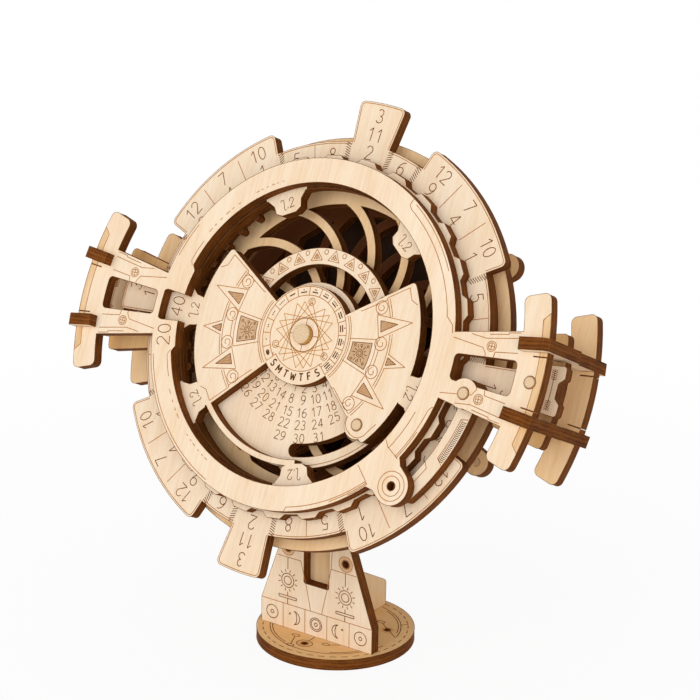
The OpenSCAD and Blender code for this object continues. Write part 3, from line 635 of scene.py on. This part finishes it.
def sheet(node, turn=0.0):
    """The front face of a disc of the stack, turned clockwise by some degrees."""
    lift = sheet_span(node, FRONT)[1] - CENTRE.dot(FRONT)
    angle = math.radians(turn)
    right = RIGHT * math.cos(angle) - UP * math.sin(angle)
    up = RIGHT * math.sin(angle) + UP * math.cos(angle)
    return flat_face(node, right, up, FRONT, CENTRE + FRONT * lift)


def stand_face():
    """Front face of the stand's front plate, drawn with X right and Y up from the table."""
    front = sheet_span("stand_front", BACK)[0]
    return flat_face("stand_front", RIGHT, VERTICAL, -BACK, Vector((0, front, 0)))


def foot_face():
    """Upper face of the foot, drawn with X right and Y to the back."""
    top = sheet_span("base_disc", VERTICAL)[1]
    return flat_face("base_disc", RIGHT, BACK, VERTICAL, Vector((0, 0, top)))


def cw(radius, angle):
    turn = math.radians(angle)
    return (radius * math.sin(turn), radius * math.cos(turn))


def polar(*pairs):
    """Points from pairs of a radius and an angle."""
    return [cw(radius, angle) for radius, angle in pairs]


def about(middle, *pairs, side=1):
    """Points whose angles are counted from a middle line, clockwise or, where side is -1, against it."""
    return polar(*[(radius, middle + side * angle) for radius, angle in pairs])


def loop(outline):
    """A closed stroke from an outline."""
    return outline + outline[:1]


def ring_arc(radius, start, end, step=2.5):
    count = max(2, math.ceil(abs(end - start) / step) + 1)
    return [cw(radius, start + (end - start) * i / (count - 1)) for i in range(count)]


def oval(x, y, wide, high, count=20):
    """A closed oval with these half axes."""
    return loop([(x + wide * math.cos(2 * math.pi * i / count), y + high * math.sin(2 * math.pi * i / count))
                 for i in range(count)])


def bow(x, y, wide, high, start, end, count=9):
    """Part of an oval between two angles, counted against the clock from the right."""
    turns = [math.radians(start + (end - start) * i / (count - 1)) for i in range(count)]
    return [(x + wide * math.cos(turn), y + high * math.sin(turn)) for turn in turns]


def spiral(x, y, outer, inner, start, turns, count=18):
    """A curl that runs inwards, with its angles counted as in a bow."""
    points = []
    for i in range(count):
        share = i / (count - 1)
        angle = math.radians(start + 360 * turns * share)
        radius = outer + (inner - outer) * share
        points.append((x + radius * math.cos(angle), y + radius * math.sin(angle)))
    return points


def placed(strokes, radius, angle, spin=0.0):
    """Moves strokes drawn round the origin to a place on a disc, their tops outwards, then spun by spin."""
    centre = cw(radius, angle)
    turn = math.radians(angle + spin)
    cos, sin = math.cos(turn), math.sin(turn)
    return [[(centre[0] + x * cos + y * sin, centre[1] - x * sin + y * cos) for x, y in stroke]
            for stroke in strokes]


def moved(strokes, x, y):
    return [[(x + a, y + b) for a, b in stroke] for stroke in strokes]


def hatched(outline, slant, pitch):
    """Parallel strokes that fill a closed outline, slanted by some degrees."""
    turn = math.radians(slant)
    cos, sin = math.cos(turn), math.sin(turn)
    corners = [(x * cos + y * sin, y * cos - x * sin) for x, y in outline]
    low, high = min(y for x, y in corners), max(y for x, y in corners)
    strokes = []
    for row in range(1, int((high - low) / pitch) + 1):
        level = low + row * pitch
        meets = []
        for (x0, y0), (x1, y1) in zip(corners, corners[1:] + corners[:1]):
            if (y0 > level) != (y1 > level):
                meets.append(x0 + (x1 - x0) * (level - y0) / (y1 - y0))
        meets.sort()
        strokes += [[(x * cos - level * sin, x * sin + level * cos) for x in ends]
                    for ends in zip(meets[::2], meets[1::2]) if ends[1] - ends[0] > 0.2]
    return strokes


# Single-stroke figures in a cell 0.6 wide and 1 high, and the letters that the week needs
GLYPHS = {
    "0": [oval(0.3, 0.5, 0.27, 0.5)],
    "1": [[(0.12, 0.76), (0.36, 1.0), (0.36, 0.0)]],
    "2": [bow(0.3, 0.73, 0.26, 0.27, 165, -30) + [(0.03, 0.0), (0.6, 0.0)]],
    "3": [bow(0.28, 0.75, 0.22, 0.25, 150, -90), bow(0.28, 0.25, 0.27, 0.26, 90, -155)],
    "4": [[(0.45, 0.0), (0.45, 1.0), (0.02, 0.3), (0.62, 0.3)]],
    "5": [[(0.53, 1.0), (0.13, 1.0), (0.08, 0.57)] + bow(0.27, 0.32, 0.28, 0.32, 112, -150)],
    "6": [bow(0.55, 0.32, 0.52, 0.68, 95, 170, 7) + bow(0.3, 0.29, 0.27, 0.29, 170, -190, 16)],
    "7": [[(0.02, 1.0), (0.57, 1.0), (0.2, 0.0)]],
    "8": [oval(0.3, 0.77, 0.2, 0.23, 16), oval(0.3, 0.27, 0.26, 0.27, 16)],
    "9": [bow(0.05, 0.68, 0.52, 0.68, -85, -10, 7) + bow(0.3, 0.71, 0.27, 0.29, -10, 350, 16)],
    "S": [bow(0.3, 0.75, 0.24, 0.25, 40, 270) + bow(0.3, 0.25, 0.26, 0.25, 85, -150)],
    "M": [[(0.0, 0.0), (0.05, 1.0), (0.35, 0.3), (0.65, 1.0), (0.7, 0.0)]],
    "T": [[(0.0, 1.0), (0.62, 1.0)], [(0.31, 1.0), (0.31, 0.0)]],
    "W": [[(0.0, 1.0), (0.17, 0.0), (0.38, 0.8), (0.59, 0.0), (0.76, 1.0)]],
    "F": [[(0.52, 1.0), (0.06, 1.0), (0.06, 0.0)], [(0.06, 0.53), (0.44, 0.53)]],
}
GLYPH_WIDTH = {"M": 0.7, "W": 0.76, "1": 0.5}


def written(text, height, gap=0.2):
    """A word or number drawn round the origin."""
    strokes, reach = [], 0.0
    for sign in text:
        strokes += [[(reach + x, y) for x, y in stroke] for stroke in GLYPHS[sign]]
        reach += GLYPH_WIDTH.get(sign, 0.6) + gap
    middle = (reach - gap) / 2
    return [[((x - middle) * height, (y - 0.5) * height) for x, y in stroke] for stroke in strokes]


# ---- front ring, arms and bars

def arm_strokes(middle, side):
    """Lines on one half of an arm. Side is 1 clockwise and -1 against it."""
    paths = (((44.8, 8.8), (53.2, 6.3), (54.05, 4.7), (54.0, 4.05)),
             ((56.3, 4.1), (56.6, 5.4), (62.6, 5.6)),
             ((62.9, 8.9), (53.8, 8.7), (49.7, 9.9)),
             ((62.9, 10.1), (59.7, 10.1), (59.7, 9.75), (54.6, 9.75)))
    x, y = cw(55.4, middle + side * 6.75)
    outer, inner = 1.25, 0.85
    return [about(middle, *path, side=side) for path in paths] + [
        oval(x, y, outer, outer), oval(x, y, inner, inner),
        [(x - inner, y), (x + inner, y)], [(x, y - inner), (x, y + inner)]]


def ring_strokes():
    """Lines on the ring itself, beside the arms, the lug and the year window."""
    return [polar((44.9, 167.9), (43.9, 167.2)) + ring_arc(43.9, 166, 136.5) + polar((44.8, 136.4)),
            ring_arc(44.35, 151, 136.5), ring_arc(44.72, 144, 136.5),
            polar((39.2, 136.4), (43.9, 136.4)),
            polar((39.0, 122.2), (40.9, 123.6)) + ring_arc(41.1, 123, 108),
            ring_arc(43.95, 123.6, 106.2) + bow_on_ring(43.95, 44.95, 106.2, 103.9),
            ring_arc(44.4, 123.6, 113), polar((41.1, 123.4), (44.9, 123.4)),
            polar((44.9, 31.9), (43.2, 32.2)) + ring_arc(42.7, 34, 74.5) + polar((44.2, 77.4), (44.4, 80)),
            ring_arc(44.4, 34, 60), ring_arc(44.3, 201, 252.6), ring_arc(44.3, 287.4, 300),
            ring_arc(39.9, 243, 251.5) + polar((38.9, 253.2)),
            ring_arc(39.9, 297, 288.5) + polar((38.9, 286.8))]


def bow_on_ring(inner, outer, start, end):
    """A rounded end that leads from one radius of the ring to another."""
    turns = [math.pi * i / 12 for i in range(7)]
    return [cw(inner + (outer - inner) * (1 - math.cos(turn)), start + (end - start) * math.sin(turn))
            for turn in turns]


def ring_dashes():
    """Short uneven dashes near the ring's inner edge on the left."""
    spans = [(205, 222, 2.6), (226, 240, 3.4), (301, 321, 3.1), (325, 341, 2.3)]
    dashes = []
    for start, end, pitch in spans:
        for i in range(int((end - start) / pitch)):
            angle = start + i * pitch
            dashes.append(ring_arc(40.3, angle, angle + pitch * (0.35 if i % 3 else 0.6), 1))
    return dashes


def bar_band(middle):
    """The toasted band along the outer edge of a bar, with slanted ends."""
    inner, outer, half, slant = 68.45, 70.45, 13.9, 1.2
    return (ring_arc(outer, middle - half, middle + half)
            + ring_arc(inner, middle + half - slant, middle - half + slant))


def slit_lines():
    """The relief slits of the bars, drawn as dark lines: painted shade for the dark inside them."""
    return [about(middle, (66.8, 5.3), (70.5, 5.3), side=side) for middle in BARS for side in (-1, 1)]


def dress_cage_front():
    face = sheet("cage_front", CAGE_TURN)
    bands = [bar_band(middle) for middle in BARS]
    lines = ring_strokes() + ring_dashes()
    for middle, band in zip(BARS, bands):
        lines += arm_strokes(middle, 1) + arm_strokes(middle, -1) + [loop(band)]
    lug = cw(49, 129.9)
    lines += [oval(*lug, size, size, 32) for size in (2.45, 3.65)]
    engrave("ring_lines", face, lines, FINE, BURNT_LINE)
    tint("bar_bands", face, bands, TOASTED)
    number = placed(written("20", height=4.0), 41.3, 259.1)
    engrave("ring_number", face, number, MARK, BURNT_MARK)
    # The rims round the pegs and the lug's hole are partly burnt edge and partly painted shadow of the gaps
    pegs = [cw(51, 96.6), cw(67.3, 90)]
    rims = [oval(*peg, PEG_RIM, PEG_RIM, 32) for peg in pegs] + [oval(*lug, 1.12, 1.12, 32)]
    engrave("ring_holes", face, rims, MARK, BURNT_EDGE_AND_SHADOW)
    # Painted shade: dark lines over the slits of the front and rear sheets
    engrave("front_slits", face, slit_lines(), THICK, DARK_BURN_AND_SHADE)
    engrave("rear_slits", sheet("cage_rear", CAGE_TURN), slit_lines(), THICK, DARK_BURN_AND_SHADE)


# ---- year plate

LABEL_SECTORS = (3, 8, 13, 18, 21, 26)
HUB_CELLS = 15
HUB_CELL = 17.73
HUB_START = 227.1


def year_numbers():
    """The last two figures of each year, one sector after the other, with leap years in two sectors."""
    strokes = []
    year, sector = 20, 18
    for _ in range(SECTORS):
        strokes += placed(written(str(year), height=3.6), 40.9, sector * SECTOR)
        if sector % SECTORS not in LABEL_SECTORS:
            year += 1
        sector -= 1
    return strokes


def label_marks():
    """The two months that a leap year's tab is for, as a hooked 1 and a looped 2 with a comma between."""
    one = [bow(-1.55, 0.95, 0.45, 0.5, 200, 20, 6) + [(-1.1, -1.2)]
           + bow(-0.85, -1.2, 0.25, 0.3, 180, 350, 5)]
    two = [bow(1.15, 0.8, 0.62, 0.62, 200, -45, 8) + [(0.5, -1.3)]
           + bow(0.85, -1.3, 0.35, 0.28, 180, 20, 5) + [(1.9, -0.9)]]
    comma = [[(0.0, -0.75), (-0.15, -1.25)]]
    strokes = []
    for sector in LABEL_SECTORS:
        strokes += placed(one + two + comma, 35.3, sector * SECTOR)
    return strokes


# Each wing: its middle angle, its rays' offsets, and its scrolls as radius and offset
LEFT_WING = (180 + 45 + 3 * SECTOR, (-20.4, 0.0, 20.4),
             ((23.4, 32.1), (23.3, 9.1), (23.4, -8.9), (23.1, -32.3)))
RIGHT_WING = (180 - 46.9 - 3 * SECTOR, (-20.9, -0.4, 20.7),
              ((23.1, -32.7), (22.8, -9.8), (22.8, 8.6), (22.9, 33.3)))


def wing_strokes(middle, rays, scrolls):
    """Lines of one wing: three rays, scrolls, the double bands beside them and the frame of its panel."""
    def arc(radius, start, end):
        return ring_arc(radius, middle + start, middle + end)
    lines = []
    for ray in (rays[0], rays[2]):
        lines.append(about(middle, (31.3, ray), (21.6, ray - 8.1), (21.9, ray + 7.9), (31.3, ray)))
    lines.append(about(middle, (25.6, rays[1] - 4.2), (31.3, rays[1]), (25.6, rays[1] + 4.2)))
    for radius, offset in scrolls:
        x, y = cw(radius, middle + offset)
        lines += [oval(x, y, 1.7, 1.7, 28), spiral(x, y, 1.1, 0.5, 200 - middle - offset, 0.85)]
    lines += [arc(25.1, -15.4, 15.4), arc(25.75, -15.8, rays[1] - 4.3), arc(25.75, rays[1] + 4.3, 15.8)]
    for side in (-1, 1):
        lines += [arc(radius, side * 25.4, side * 36.2) for radius in (25.1, 25.75)]
        lines += [arc(21.9, side * 28.6, side * 30.4), arc(21.9, side * 35.0, side * 36.4)]
    lines += [arc(22.5, -5.2, 5.2), arc(21.55, -12.3, 12.3)]
    lines += [about(middle, (21.5, -12.3), (13.6, -11.8)), about(middle, (21.5, 12.3), (13.6, 12.3))]
    lines += [arc(13.3, -36.5, 36.5), arc(13.85, -36.0, 36.0)]
    return lines


def wing_border(middle, side):
    """The line that runs just inside a wing's slanted end."""
    return about(middle, (33.0, 28.4), (31.6, 31.2), (31.8, 37.1), (25.2, 37.0), (25.1, 35.9), (17.6, 35.6),
                 (17.2, 36.2), side=side)


def lobe_border():
    """The line round the rounded lobe that holds the wing's peg."""
    return [polar((16.32, 134.0), (17.02, 131.3), (20.8, 131.8), (25.1, 131.3)),
            polar((25.43, 131.9), (26.0, 133.9), (26.75, 135.4), (27.7, 136.2), (28.61, 136.2),
                  (30.0, 135.6), (31.19, 134.4), (32.0, 132.6), (32.38, 130.3), (32.24, 126.9),
                  (32.41, 122.6))]


def lip_strips():
    """The lip of the year ring that shows inside the cage's ring, between the label tabs, painted near black
    as shade.
    """
    inner, outer, base = 38.04, 38.9, 9.2
    strips = []
    for sector, following in zip(LABEL_SECTORS, LABEL_SECTORS[1:] + (LABEL_SECTORS[0] + SECTORS,)):
        start, end = sector * SECTOR + base, following * SECTOR - base
        strips.append(ring_arc(inner, start, end) + ring_arc(outer, end, start))
    return strips


def wing_panel(middle):
    """A plain sun with short rays in the wing's small panel, and a column of dots on each side."""
    sun = [oval(0, 0, 0.95, 0.95, 24), oval(0, 0, 0.5, 0.5, 16)]
    for i in range(12):
        turn = 2 * math.pi * i / 12
        cos, sin = math.cos(turn), math.sin(turn)
        reach = 2.3 if i % 2 else 1.9
        sun.append([(1.25 * cos, 1.25 * sin), (reach * cos, reach * sin)])
    dots = [oval(*cw(radius, middle + offset), 0.28, 0.28, 10)
            for offset in (-6.6, 6.6) for radius in (15.6, 17.5, 19.4)]
    return placed(sun, 17.5, middle) + dots


def wing_hearts(middle, rays):
    """The toasted triangle in each ray of a wing."""
    hearts = [about(middle + ray, (27.2, 0), (22.4, 3.7), (22.4, -3.7)) for ray in (rays[0], rays[2])]
    return hearts + [about(middle + rays[1], (28.5, 0), (25.75, 2.2), (25.75, -2.2))]


def panel_outline(middle):
    """The toasted panel under a wing's middle ray."""
    return ring_arc(20.4, middle + 9.8, middle - 9.4) + ring_arc(14.7, middle - 8.6, middle + 8.8)


def numeral(value):
    """A number from 0 to 14 in dots and bars, drawn round the origin."""
    if value == 0:
        return [oval(0, 0, 0.62, 0.36, 14), [(-0.35, 0), (0.35, 0)]]
    row_height = 0.62
    bars, dots = divmod(value, 5)
    low = -0.3 * (bars + (1 if dots else 0) - 1)
    strokes = [[(-0.85, low + row_height * row), (0.85, low + row_height * row)] for row in range(bars)]
    for i in range(dots):
        x = 0.5 * (i - (dots - 1) / 2)
        strokes.append([(x - 0.14, low + row_height * bars), (x + 0.14, low + row_height * bars)])
    return strokes


def star_strokes():
    """Six triangles that make the star of the weekday hub."""
    return [polar(*[(8.6, tip + half + third) for third in (0, 120, 240, 0)])
            for tip in (359.2, 344.0, 329.0) for half in (0, 60)]


def hub_strokes():
    """Circles and cells of the weekday hub."""
    inner, outer = 10.2, 12.45
    hub_end = HUB_START + HUB_CELLS * HUB_CELL
    lines = []
    for angle in (358.5, 119.0, 243.5):
        x, y = cw(8.6, angle)
        lines += [oval(x, y, 0.95, 0.95, 18), bow(x, y, 0.5, 0.5, 40, 320, 8)]
    lines.append(oval(0, 0, 4.3, 4.3, 36))
    lines += [polar((2.7, angle), (4.3, angle)) for angle in (357, 87, 177, 267)]
    lines += [ring_arc(radius, HUB_START, hub_end) for radius in (inner, outer)]
    lines += [about(HUB_START + i * HUB_CELL, (inner, 0), (outer, 0)) for i in range(HUB_CELLS + 1)]
    lines.append(ring_arc(9.3, 133, 228))
    lines += [bow(*cw(9.75, angle), 0.4, 0.4, turn, turn + 250, 8)
              for angle, turn in ((131.5, 60), (229.5, 120))]
    return lines


def dress_wings(face):
    lines = hub_strokes() + lobe_border() + [wing_border(LEFT_WING[0], -1), wing_border(LEFT_WING[0], 1),
                                             wing_border(RIGHT_WING[0], -1)]
    marks, hatch, toasted_places = label_marks(), [], []
    for middle, rays, scrolls in (LEFT_WING, RIGHT_WING):
        hearts = wing_hearts(middle, rays)
        places = hearts + [panel_outline(middle)]
        lines += wing_strokes(middle, rays, scrolls)
        marks += wing_panel(middle) + [loop(outline) for outline in places]
        for heart in hearts:
            hatch += hatched(heart, slant=90 - middle, pitch=0.4)
        toasted_places += places
    engrave("year_plate_lines", face, lines, FINE, BURNT_LINE)
    engrave("hub_star", face, star_strokes(), FINE, AMBER_LINE)
    engrave("year_plate_marks", face, marks, FINE, BURNT_MARK)
    engrave("wing_hatch", face, hatch, HATCH, BURNT_LINE)
    tint("wing_tints", face, toasted_places, SHADED)


def dress_year_plate():
    face = sheet("year_plate")
    dress_wings(face)
    # Painted shade: near-black plates on the year ring's lip between the label tabs
    tint("year_lip", face, lip_strips(), LIP_SHADE)
    numerals, letters = [], []
    for value in range(HUB_CELLS):
        numerals += placed(numeral(value), 11.33, HUB_START + HUB_CELL * (value + 0.5))
    for i, sign in enumerate("SMTWTFS"):
        letters += placed(written(sign, height=1.85), 10.85, 180 + (3 - i) * SECTOR, 180)
    engrave("hub_numerals", face, numerals, THICK, DARK_BURN_AND_SHADE)
    engrave("year_numbers", face, year_numbers(), MARK, BURNT_MARK)
    engrave("weekday_letters", face, letters, LETTER, DARK_BURN_AND_SHADE)
    # The rims round the wing's peg and the axle are partly burnt edge and partly painted shadow of the gaps
    rims = [oval(*cw(28.9, 130.3), PEG_RIM, PEG_RIM, 32), oval(0, 0, AXLE_RIM, AXLE_RIM, 40)]
    engrave("year_plate_holes", face, rims, MARK, BURNT_EDGE_AND_SHADOW)


# ---- date plate and month ring

DATE_ROWS = (13.1, 16.1, 19.4, 22.5, 25.9)


def date_numbers():
    """Thirteen columns of dates, so that any seven of them fit under the weekdays."""
    strokes = []
    for column in range(13):
        first = (column + 1) % 7 + 1
        angle = 180 + (6 - column) * SECTOR
        for day, radius in zip(range(first, 32, 7), DATE_ROWS):
            strokes += placed(written(str(day), height=2.3), radius, angle, 180)
    return strokes


def band_strokes():
    """Double triangles with a dot inside, and circles between them, along the date plate's arc band."""
    strokes = []
    pitch, shift = 14.7, -1.0
    for i in range(-4, 5):
        angle = shift + i * pitch
        strokes += [about(angle, (22.8, 0), (20.0, 4.9), (20.0, -4.9), (22.8, 0)),
                    about(angle, (21.7, 0), (20.45, 2.4), (20.45, -2.4), (21.7, 0)),
                    oval(*cw(20.9, angle), 0.28, 0.28, 8)]
    strokes += [oval(*cw(22.1, shift + (i + 0.5) * pitch), 0.55, 0.62, 14) for i in range(-5, 5)]
    return strokes


def date_plate_lines():
    """Thin lines beside the dates and along the date plate's edge."""
    outer, inner, half = 32.7, 15.5, 93
    return [ring_arc(outer, 180 - half, 180 + half), about(180, (outer, half), (inner, half), side=-1),
            about(180, (outer, half), (inner, half))]


def tab_border(radius, start, end):
    """A line just inside a tab's sides and outer edge, with blunt corners."""
    base, inset, corner, blunt = 51.0, 0.45, 1.0, 0.3
    outer = radius - inset
    lean = math.degrees(inset / outer)
    bend = math.degrees(corner / outer)
    side = ((base, math.degrees(inset / base)), (outer - corner, lean),
            (outer - blunt * corner, lean + blunt * bend))
    return (about(start, *side) + ring_arc(outer, start + lean + bend, end - lean - bend)
            + about(end, *side[::-1], side=-1))


def tab_hatch(angle, side):
    """Slanted ticks where a tab's side runs on into the ring."""
    return [about(angle, (46.0 + 0.62 * i, 0.2), (46.7 + 0.62 * i, 1.9), side=side) for i in range(8)]


# The months on each quarter of the ring, by sector, as pairs of a month and its radius
MONTHS = {0: (("3", 58.7), ("11", 53.7), ("2", 49.0)), 1: (("6", 48.2),), 2: (("12", 53.2), ("9", 48.4)),
          3: (("7", 53.3), ("4", 48.4)), 4: (("10", 53.2), ("1", 48.2)), 5: (("5", 47.6),),
          6: (("8", 47.5),)}


def month_strokes():
    """Lines, ticks and numbers of the month ring, which are alike on its four quarters."""
    lines, hatch, numbers = [], [], []
    tab_half, wide_from, wide_to = SECTOR / 2, 1.5 * SECTOR, 4.5 * SECTOR
    ring_line = 50.55
    for quarter in (0, 90, 180, 270):
        lines += [tab_border(62.0, quarter - tab_half, quarter + tab_half),
                  tab_border(56.7, quarter + wide_from, quarter + wide_to),
                  ring_arc(ring_line, quarter + tab_half, quarter + wide_from),
                  ring_arc(ring_line, quarter + wide_to, quarter + 90 - tab_half)]
        lines += [about(quarter + k * SECTOR, (46.9, 0), (55.0, 0)) for k in (2.5, 3.5)]
        lines.append(about(quarter + 5.5 * SECTOR, (45.8, 0), (50.5, 0)))
        for edge, side in ((-tab_half, -1), (tab_half, 1), (wide_from, -1), (wide_to, 1)):
            hatch += tab_hatch(quarter + edge, side)
        for step, stack in MONTHS.items():
            for text, radius in stack:
                numbers += placed(written(text, height=3.5, gap=0.22), radius, quarter + step * SECTOR)
    return lines, hatch, numbers


def dress_dial():
    face = sheet("date_plate", DIAL_TURN)
    lines, hatch, numbers = month_strokes()
    engrave("date_plate_lines", face, band_strokes() + date_plate_lines(), FINE, BURNT_LINE)
    engrave("date_numbers", face, date_numbers(), FINE, BURNT_MARK)
    engrave("month_ring_lines", face, lines, FINE, BURNT_LINE)
    engrave("month_ring_hatch", face, hatch, FINE, DARK_BURN_AND_SHADE)
    engrave("month_numbers", face, numbers, MARK, BURNT_MARK)


# ---- small plates and lever

PLATE_MIDDLE = 68.1


def leaf(middle, side):
    """Chevrons along the centre line at one end of a small plate."""
    strokes = []
    for i in range(5):
        offset = 2.1 + 0.42 * i
        strokes += [about(middle, (PLATE_MIDDLE, offset), (PLATE_MIDDLE + radial, offset + 0.35), side=side)
                    for radial in (-0.75, 0.75)]
    return strokes


def dress_spacer_plates():
    for node, middle in (("spacer_plate_right", 90), ("spacer_plate_left", 270)):
        face = sheet(node, CAGE_TURN)
        lines = [ring_arc(PLATE_MIDDLE, middle - 4.3, middle + 4.3, 1)]
        engrave(node + "_line", face, lines, FINE, BURNT_LINE)
        engrave(node + "_leaves", face, leaf(middle, 1) + leaf(middle, -1), LEAF, BURNT_MARK)


def dress_lever():
    face = sheet("lever", CAGE_TURN)
    knurl = [about(103.6 + 0.5 * i, (51.65, 0), (52.35, 0.3), (53.2, 0)) for i in range(25)]
    engrave("lever_knurl", face, knurl, FINE, DARK_BURN_AND_SHADE)
    lines = [polar((49.3, 118.7), (50.7, 119.8)) + ring_arc(50.7, 120, 127.5),
             polar((53.3, 102.6), (51.4, 103.4)) + ring_arc(51.4, 104, 115.6) + polar((53.3, 116.4))]
    engrave("lever_lines", face, lines, FINE, BURNT_LINE)


# ---- stand and foot

BAND_TOP = 9.95
MOON_SIZE = 1.9


def moon(kind):
    """One phase of the moon, as an outline drawn round the origin."""
    disc = oval(0, 0, MOON_SIZE, MOON_SIZE, 28)
    if kind == "new":
        return [disc, oval(0, 0, 0.5, 0.5, 12)]
    if kind == "full":
        return [disc, oval(0, 0, 1.45, 1.45, 24), oval(0, 0, 0.5, 0.5, 12)]
    side = 1 if kind == "waxing" else -1
    lit = bow(0, 0, MOON_SIZE, MOON_SIZE, 90, -90, 16) + bow(0, 0, MOON_SIZE / 2, MOON_SIZE, -90, 90, 12)
    return [[(side * x, y) for x, y in lit], oval(-side * 1.35, 0.9, 0.22, 0.22, 8)]


def sun_on_stem(x):
    """A round ornament under a hole: two circles, short rays, and a double bar below."""
    centre, bar_low, bar_high, bar_half = 16.8, 11.6, 12.3, 2.9
    lines = [[(x, 23.6), (x, centre + 3.2)], oval(x, centre, 2.0, 2.0, 28), oval(x, centre, 1.2, 1.2, 20)]
    for i in range(12):
        turn = 2 * math.pi * (i + 0.5) / 12
        lines.append([(x + reach * math.cos(turn), centre + reach * math.sin(turn)) for reach in (2.4, 3.2)])
    bar = [(x - bar_half, bar_high), (x + bar_half, bar_high),
           (x + bar_half, bar_low), (x - bar_half, bar_low)]
    return lines + [loop(bar), [(x, 13.5), (x, bar_high)], [(x, bar_low), (x, BAND_TOP)]]


def dress_stand():
    face = stand_face()
    lines = [[(-17.9, BAND_TOP), (17.9, BAND_TOP)],
             [(-3.4, 17.3), (-1.75, BAND_TOP)], [(3.5, 17.4), (1.8, BAND_TOP)],
             [(-12.8, 23.5), (-5.1, 23.5), (-3.4, 17.3)], [(12.8, 23.7), (4.7, 23.7), (3.5, 17.4)],
             [(5.3, 33.8), (4.7, 23.7)]]
    lines += [[(x, 3.1), (x, BAND_TOP)] for x in (-10.8, -3.6, 3.6, 10.8)]
    marks = []
    for x in (-STAND_HOLE_X, STAND_HOLE_X):
        marks += sun_on_stem(x)
        lines.append(oval(x, STAND_HOLE_Z, 2.1, 2.1, 28))
    for i, kind in enumerate(("new", "waxing", "full", "waning", "new")):
        marks += moved(moon(kind), 7.2 * (i - 2), 6.5)
    engrave("stand_lines", face, lines, FINE, BURNT_LINE)
    engrave("stand_marks", face, marks, MARK, BURNT_MARK)


def dress_foot():
    face = foot_face()
    dash, pitch = 5.2, 9
    lines = [ring_arc(19.5, angle, angle + dash) for angle in range(0, 360, pitch)]
    lines += [ring_arc(radius, start, end) for radius, start, end in
              ((17.6, 100, 262), (17.6, 12, 78), (16.9, 20, 70), (16.9, 108, 150), (16.9, 196, 252))]
    for x, y in ((-4.8, -11.4), (4.9, -11.2), (-2.6, -17.0), (8.6, 9.2)):
        lines.append(oval(x, y, 1.15, 0.62, 16))
    lines += [[(-4.6, -12.1), (-2.8, -16.4)], [(8.2, -9.4), (6.2, -10.7)],
              oval(0, -14.1, 2.2, 1.9, 24), [(0, -12.2), (0, -9.6)],
              [(9.4, 8.6), (17.2, 3.2)], [(14.0, 10.6), (15.4, 12.2)]]
    engrave("foot_lines", face, lines, MARK, BURNT_MARK)


# ---- the whole calendar

place_camera()
bpy.context.scene.view_settings.view_transform = "Standard"
light_world()
softbox("key", place=(-0.22, -1.55, 0.8), size=1.2, power=11.9)
softbox("fill", place=(1.15, -1.1, 0.45), size=0.9, power=4.4)
lay_floor()

RIBBON = ribbon_tree()
EDGES = edge_tree()
BURNT_LINE = scorched("burnt_line", (170, 104, 44), (198, 134, 70))
BURNT_MARK = scorched("burnt_mark", (108, 56, 16), (150, 88, 34))
DARK_BURN_AND_SHADE = scorched("dark_burn_and_shade", (76, 38, 10), (112, 62, 22))
AMBER_LINE = scorched("amber_line", (196, 130, 56), (216, 158, 90))
BURNT_EDGE_AND_SHADOW = scorched("burnt_edge_and_shadow", (110, 66, 28), (152, 98, 48))
TOASTED = toasted("toasted_face", (222, 180, 130), (240, 208, 166))
LIP_SHADE = toasted("lip_shade_face", (60, 31, 10), (96, 54, 20))
SHADED = toasted("shaded_face", (188, 150, 110), (216, 182, 144))

dress_frame()
for sheet_node in [name for name, item in NODES.items() if item.data.materials[0].name.startswith("ply_")]:
    burn_edges(sheet_node)
dress_cage_front()
dress_year_plate()
dress_dial()
dress_spacer_plates()
dress_lever()
dress_stand()
dress_foot()
